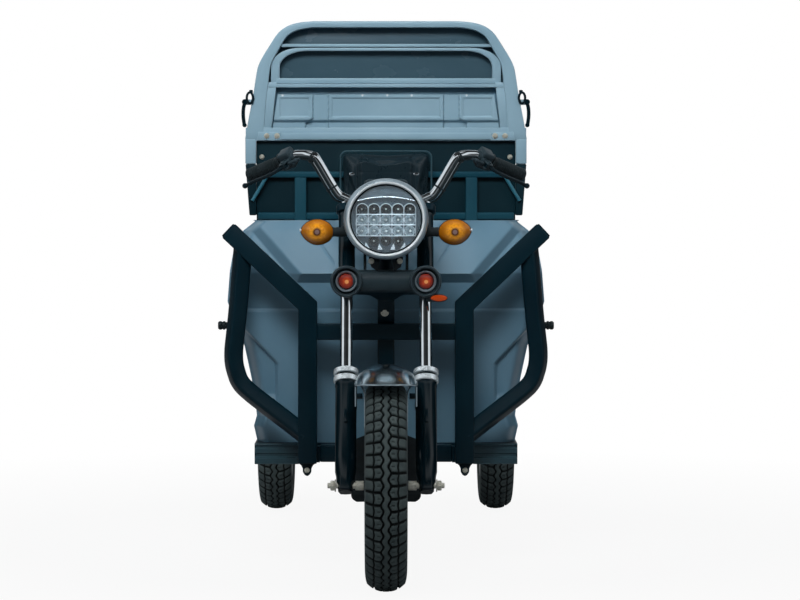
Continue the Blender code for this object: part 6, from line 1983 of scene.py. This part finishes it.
def cargo_bed():
    walls = []
    along_bed = (BED_FRONT, BED_END)
    for side in SIDES:

        def wall_point(up, along):
            z = blend(BED_FLOOR, 0.932, up)
            return Vector((side * (BED_HALF - wall_press(along, z)), blend(*along_bed, along), z))

        rows = [row if side > 0 else row[::-1] for row in grid(30, 180, wall_point)]
        walls.append(thickened(sheet(rows), 0.0022, -1))
        lip = soft_rectangle(0.018, 0.02, 0.006, 4)
        walls.append(swept([(side * 0.346, 1.1535, 0.94), (side * 0.346, BED_END, 0.94)], lip, (1, 0, 0)))
        walls.append(block(span(side, BED_INSIDE, BED_HALF), along_bed, (BED_FLOOR, 0.595), 0.001))
        post = (BED_END - 0.022, BED_END)
        walls.append(block(span(side, 0.337, 0.3548), post, (0.586, 0.93), 0.003))
        lug = (BED_END - 0.02, 2.3985)
        walls.append(block(span(side, 0.3305, 0.3415), lug, (BED_FLOOR, 0.6002), 0.0015))
    sill = (BED_END - 0.002, BED_END + 0.0041)
    walls.append(block((-BED_INSIDE, BED_INSIDE), sill, (BED_FLOOR, 0.5945), 0.0005))
    floor_line = []
    for i in range(141):
        x = blend(-0.3525, 0.3525, i / 140)
        ridge = 0.003 * step(abs(((x * 14) % 1) - 0.5), 0.22, 0.3)
        floor_line.append((x, BED_FLOOR + ridge))
    rows = [[Vector((x, y, z)) for x, z in floor_line] for y in (BED_FRONT, 1.5, 1.95, BED_END)]
    walls.append(thickened(sheet(rows), 0.0025, 1))
    put(merged(*walls), "cargo_bed_sheet", PAINT, "chassis", "cargo_tub", sharp=40)
    front = block((-BED_HALF, BED_HALF), (WALL_FRONT, WALL_FRONT + 0.003), (BED_FLOOR, WALL_TOP), 0.0008)
    # The front wall's sheet carries painted shade.
    put(front, "bed_front_sheet", PAINTED_SHADE, "chassis", "cargo_front_wall")
    posts = []
    for side in SIDES:
        posts.append(block(span(side, 0.218, 0.25), (1.125, 1.1502), (0.595, 0.984), 0.003, 3))
    rails = []
    for height in ((0.868, 0.888), (0.983, 1.0)):
        rails.append(block((-0.351, 0.351), (1.13, 1.1502), height, 0.004, 3))
    # The posts and rails carry painted shade.
    put(merged(*posts), "bed_front_posts", POST_PAINTED_SHADE, "chassis", slot="cargo_front_wall")
    put(merged(*rails), "bed_front_rails", POST_PAINTED_SHADE, "chassis", slot="cargo_front_wall")


def gate_point(up, along):
    """A point of the tailgate's sheet, with its four pressed fields."""
    z = blend(0.604, 0.95, up)
    x = blend(-BED_INSIDE, BED_INSIDE, along)
    cell = abs((((x + BED_INSIDE) / (2 * BED_INSIDE) * 4) % 1) - 0.5)
    inside = min(0.5 - cell - 0.08, (z - 0.63) * 3, (0.925 - z) * 3)
    return Vector((x, 2.3875 - 0.0028 * step(inside, 0.0, 0.05), z))


def tailgate():
    gate = [thickened(sheet(grid(30, 140, gate_point)), 0.0012, 1)]
    for half, front, back, low, top, edge, segments in GATE_RAILS:
        gate.append(block((-half, half), (front, back), (low, top), edge, segments))
    gate.append(rod(0.0058, "X", GATE_PIVOT, -0.328, 0.328, 20))
    for x in (-0.3, -0.1, 0.1, 0.3):
        gate.append(rod(0.008, "X", GATE_PIVOT, *around(x, 0.028), 20))
        gate.append(block(around(x, 0.02), (2.388, 2.3925), (0.594, 0.64), 0.0012))
    put(merged(*gate), "tailgate_sheet", PAINT, "bed_gate", "tailgate", sharp=40)
    hooks = [block(span(side, 0.318, 0.334), (2.3925, 2.399), (0.88, 0.915), 0.002) for side in SIDES]
    put(merged(*hooks), "tailgate_hooks", ZINC, "bed_gate", slot="tailgate")


cargo_bed()
tailgate()


def tail_lamp():
    low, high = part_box("tail_lamp")
    back = high[1] + MIDDLE
    case = block((low[0], high[0]), (low[1] + MIDDLE, back - 0.006), (low[2], high[2]), 0.004, 3)
    put(case, "tail_lamp_case", PLASTIC, "chassis", "tail_lamp")
    heights = (low[2] + 0.005, high[2] - 0.005)
    for name, x, half, material in (
        ("left", 0.088, 0.046, RED_LENS), ("right", -0.088, 0.046, RED_LENS),
        ("middle", 0.0, 0.034, TAIL_AMBER),
    ):
        lens = block(around(x, half), (back - 0.007, back - 0.0005), heights, 0.0045, 4, 20)
        put(lens, f"tail_lens_{name}", material, "chassis", slot="tail_lamp")


tail_lamp()


# Running gear details
def running_gear():
    """The clips that hold the axle to its two springs."""
    clips = []
    for side in SIDES:
        middle = side * RAIL_ACROSS
        for back in around(WHEELBASE, 0.03):
            arc = []
            for i in range(13):
                turn = math.pi * i / 12
                x = side * (RAIL_ACROSS + 0.0265 * math.cos(turn))
                arc.append(Vector((x, back, 0.25 - 0.03 * math.sin(turn))))
            ends = [Vector((p.x, back, 0.325)) for p in (arc[0], arc[-1])]
            clips.append(swept([ends[0]] + arc + [ends[1]], circle(0.0042, 10), (0, 1, 0)))
            for p in ends:
                clips.append(hexagon(0.0085, "Z", (p.x, back, 0), 0.3125, 0.3205))
        across = around(middle, 0.036)
        clips.append(block(across, around(WHEELBASE, 0.042), (0.3065, 0.3125), 0.0015))
    put(merged(*clips), "spring_clips", ZINC, "running_gear", slot="rear_axle")


def spring_half(solid, end):
    """The front (-1) or rear (1) half of a leaf spring, cut across at even steps along it."""
    mesh = bmesh.new()
    mesh.from_mesh(solid.data)
    mesh.transform(Matrix.Translation((0, MIDDLE, 0)) @ solid.matrix_world)
    for i in range(1, SPRING_STEPS):
        place = (0, WHEELBASE + end * SPRING_REACH * i / SPRING_STEPS, 0)
        whole = mesh.verts[:] + mesh.edges[:] + mesh.faces[:]
        bmesh.ops.bisect_plane(mesh, geom=whole, plane_co=place, plane_no=(0, 1, 0))
    whole = mesh.verts[:] + mesh.edges[:] + mesh.faces[:]
    middle = (0, WHEELBASE, 0)
    bmesh.ops.bisect_plane(mesh, geom=whole, plane_co=middle, plane_no=(0, end, 0), clear_inner=True)
    bmesh.ops.holes_fill(mesh, edges=[edge for edge in mesh.edges if edge.is_boundary])
    bmesh.ops.triangulate(mesh, faces=mesh.faces[:])
    return shaped(mesh)


def leaf_springs():
    """Each spring in two halves."""
    for side in SIDES:
        name = f"leaf_spring_{word(side)}"
        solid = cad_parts[name]
        for end, place in ((-1, "front"), (1, "rear")):
            half = spring_half(solid, end)
            bend = (WHEELBASE + end * SPRING_REACH * 0.94, WHEELBASE + end * SPRING_SEAT)
            node = name if end < 0 else ""
            put(half, f"{name}_{place}", BLACK, "running_gear", node, slot=name, bend=bend)


leaf_springs()
running_gear()

CARRIED = {
    "rail_left": BLACK, "rail_right": BLACK, "rear_cross_member": BLACK, "rear_axle": BLACK,
    "drive_motor": CAST,
}
for node, material in CARRIED.items():
    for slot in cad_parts[node].material_slots:
        slot.material = material


# Floor, sky, lamps and camera
# Brightness by height in the room, round its sides, and by height in its reflections
ROOM_LIGHT = ((0.0, 0.06), (0.5, 0.09), (0.75, 0.28), (1.0, 0.5))
SIDE_BANDS = (
    (0.0, 0.06), (0.05, 0.08), (0.08, 0.85), (0.145, 0.95), (0.19, 0.06), (0.5, 0.02), (0.8, 0.03),
    (0.845, 0.95), (0.92, 0.85), (0.955, 0.08), (1.0, 0.06),
)
TOP_BAND = ((0.0, 0.0), (0.66, 0.0), (0.71, 0.85), (0.76, 0.85), (0.81, 0.02), (0.95, 0.02), (1.0, 0.7))


def floor():
    """A pale floor that the camera sees as nearly white."""
    turns = [2 * math.pi * i / 96 for i in range(96)]
    build = bmesh.new()
    middle = build.verts.new((0, 0, 0))
    rows = []
    for radius in (1.0, 2.0, 3.5, 6.0, 12.0, 40.0, 400.0):
        rows.append([build.verts.new((radius * math.cos(t), radius * math.sin(t), 0)) for t in turns])
    for j in range(96):
        k = (j + 1) % 96
        build.faces.new((middle, rows[0][j], rows[0][k]))
        for here, there in zip(rows, rows[1:]):
            build.faces.new((here[j], there[j], there[k], here[k]))
    ground = shaped(build)
    ground.name = "studio_floor"
    nodes = new_nodes("studio_floor")
    cloud = nodes.noise(0.4, 4.0)
    nodes.coloured(nodes.mixed(cloud, (0.36, 0.37, 0.38), (0.4, 0.41, 0.42)))
    nodes.glossed(cloud, 0.75, 0.9)
    glow = nodes.add("ShaderNodeEmission")
    path = nodes.add("ShaderNodeLightPath")
    share = nodes.ranged(nodes.measured("LENGTH", nodes.place), 1.0, 2.8, 0.92, 1.0)
    seen = nodes.joined("MAXIMUM", path.outputs["Is Camera Ray"], path.outputs["Is Transmission Ray"])
    factor = nodes.joined("MULTIPLY", seen, share)
    nodes.shown(nodes.either(factor, nodes.shader.outputs[0], glow.outputs[0]))
    ground.data.materials.append(nodes.holder)


def graded(nodes, source, stops):
    """A brightness that follows source, through (position, value) stops."""
    node = nodes.add("ShaderNodeValToRGB")
    elements = node.color_ramp.elements
    for end, (position, value) in zip(elements, (stops[0], stops[-1])):
        end.position = position
        end.color = (value, value, value, 1)
    for position, value in stops[1:-1]:
        elements.new(position).color = (value, value, value, 1)
    nodes.link(source, node.inputs[0])
    return node.outputs["Color"]


def sky():
    """White to the camera and behind the tricycle, a dim room with soft bands of light in front."""
    world = bpy.data.worlds.new("studio")
    bpy.context.scene.world = world
    nodes = Nodes(world)
    white = nodes.add("ShaderNodeBackground")
    nodes.fill(white.inputs["Color"], (1, 1, 1))
    split = nodes.add("ShaderNodeSeparateXYZ")
    nodes.link(nodes.coordinates.outputs["Generated"], split.inputs[0])

    def scaled(axis, factor, offset, clamp=False):
        return nodes.joined("MULTIPLY_ADD", split.outputs[axis], factor, offset, clamp=clamp)

    def lit(light, colour, strength):
        nodes.fill(light.inputs["Color"], colour)
        nodes.fill(light.inputs["Strength"], strength)
        return light.outputs[0]

    raised = scaled("Z", 0.5, 0.5)
    room = lit(nodes.shader, (0.9, 0.96, 1.0), graded(nodes, raised, ROOM_LIGHT))
    sides = nodes.joined(
        "MULTIPLY", graded(nodes, scaled("X", 0.5, 0.5), SIDE_BANDS), scaled("Y", -4.0, 0.6, clamp=True),
    )
    front = nodes.joined("MAXIMUM", sides, graded(nodes, raised, TOP_BAND))
    bands = nodes.joined("MAXIMUM", front, scaled("Y", 5.0, -4.2, clamp=True))
    shine = lit(nodes.add("ShaderNodeBackground"), (0.92, 0.97, 1.0), bands)
    path = nodes.add("ShaderNodeLightPath").outputs
    around_it = nodes.either(path["Is Glossy Ray"], room, shine)
    through = nodes.joined("MAXIMUM", path["Is Camera Ray"], path["Is Transmission Ray"])
    nodes.shown(nodes.either(through, around_it, white.outputs[0]))


def lamp(name, place, aim, size, power, spread=180):
    data = bpy.data.lights.new(name, "AREA")
    data.spread = math.radians(spread)
    data.shape = "RECTANGLE"
    data.size, data.size_y = size
    data.energy = power
    made = bpy.data.objects.new(name, data)
    made.location = place
    made.visible_glossy = False
    made.rotation_euler = (Vector(aim) - Vector(place)).to_track_quat("-Z", "Y").to_euler()
    bpy.context.scene.collection.objects.link(made)


def studio():
    floor()
    sky()
    lamp("key", (-0.5, -3.4, 3.3), (0, 0.05, 1.32), (1.8, 1.2), 22, 62)
    lamp("fill", (3.4, -3.8, 2.4), (0, 0, 0.7), (2.6, 2.6), 5)
    lamp("left", (-3.6, -2.6, 2.6), (0, 0, 0.6), (2.6, 2.6), 5)
    lamp("top", (0, -0.4, 4.4), (0, -0.4, 0), (3.0, 3.0), 38)
    lamp("rear", (-2.5, 4.6, 3.0), (0, 0.5, 0.6), (2.6, 2.6), 75)
    data = bpy.data.cameras.new("camera")
    data.sensor_width = SENSOR
    data.lens = SENSOR * FOCAL / FRAME_WIDTH
    data.clip_end = 1000
    camera = bpy.data.objects.new("camera", data)
    camera.location = (0, CAMERA_BACK - MIDDLE, CAMERA_HEIGHT)
    dip = math.atan((FRAME_HEIGHT / 2 - HORIZON) / FOCAL)
    turn = math.atan((FRAME_WIDTH / 2 - CENTRE_X) / FOCAL)
    camera.rotation_euler = (math.pi / 2 - dip, 0, -turn)
    bpy.context.scene.collection.objects.link(camera)
    bpy.context.scene.camera = camera
    bpy.context.scene.view_settings.view_transform = "Standard"


studio()
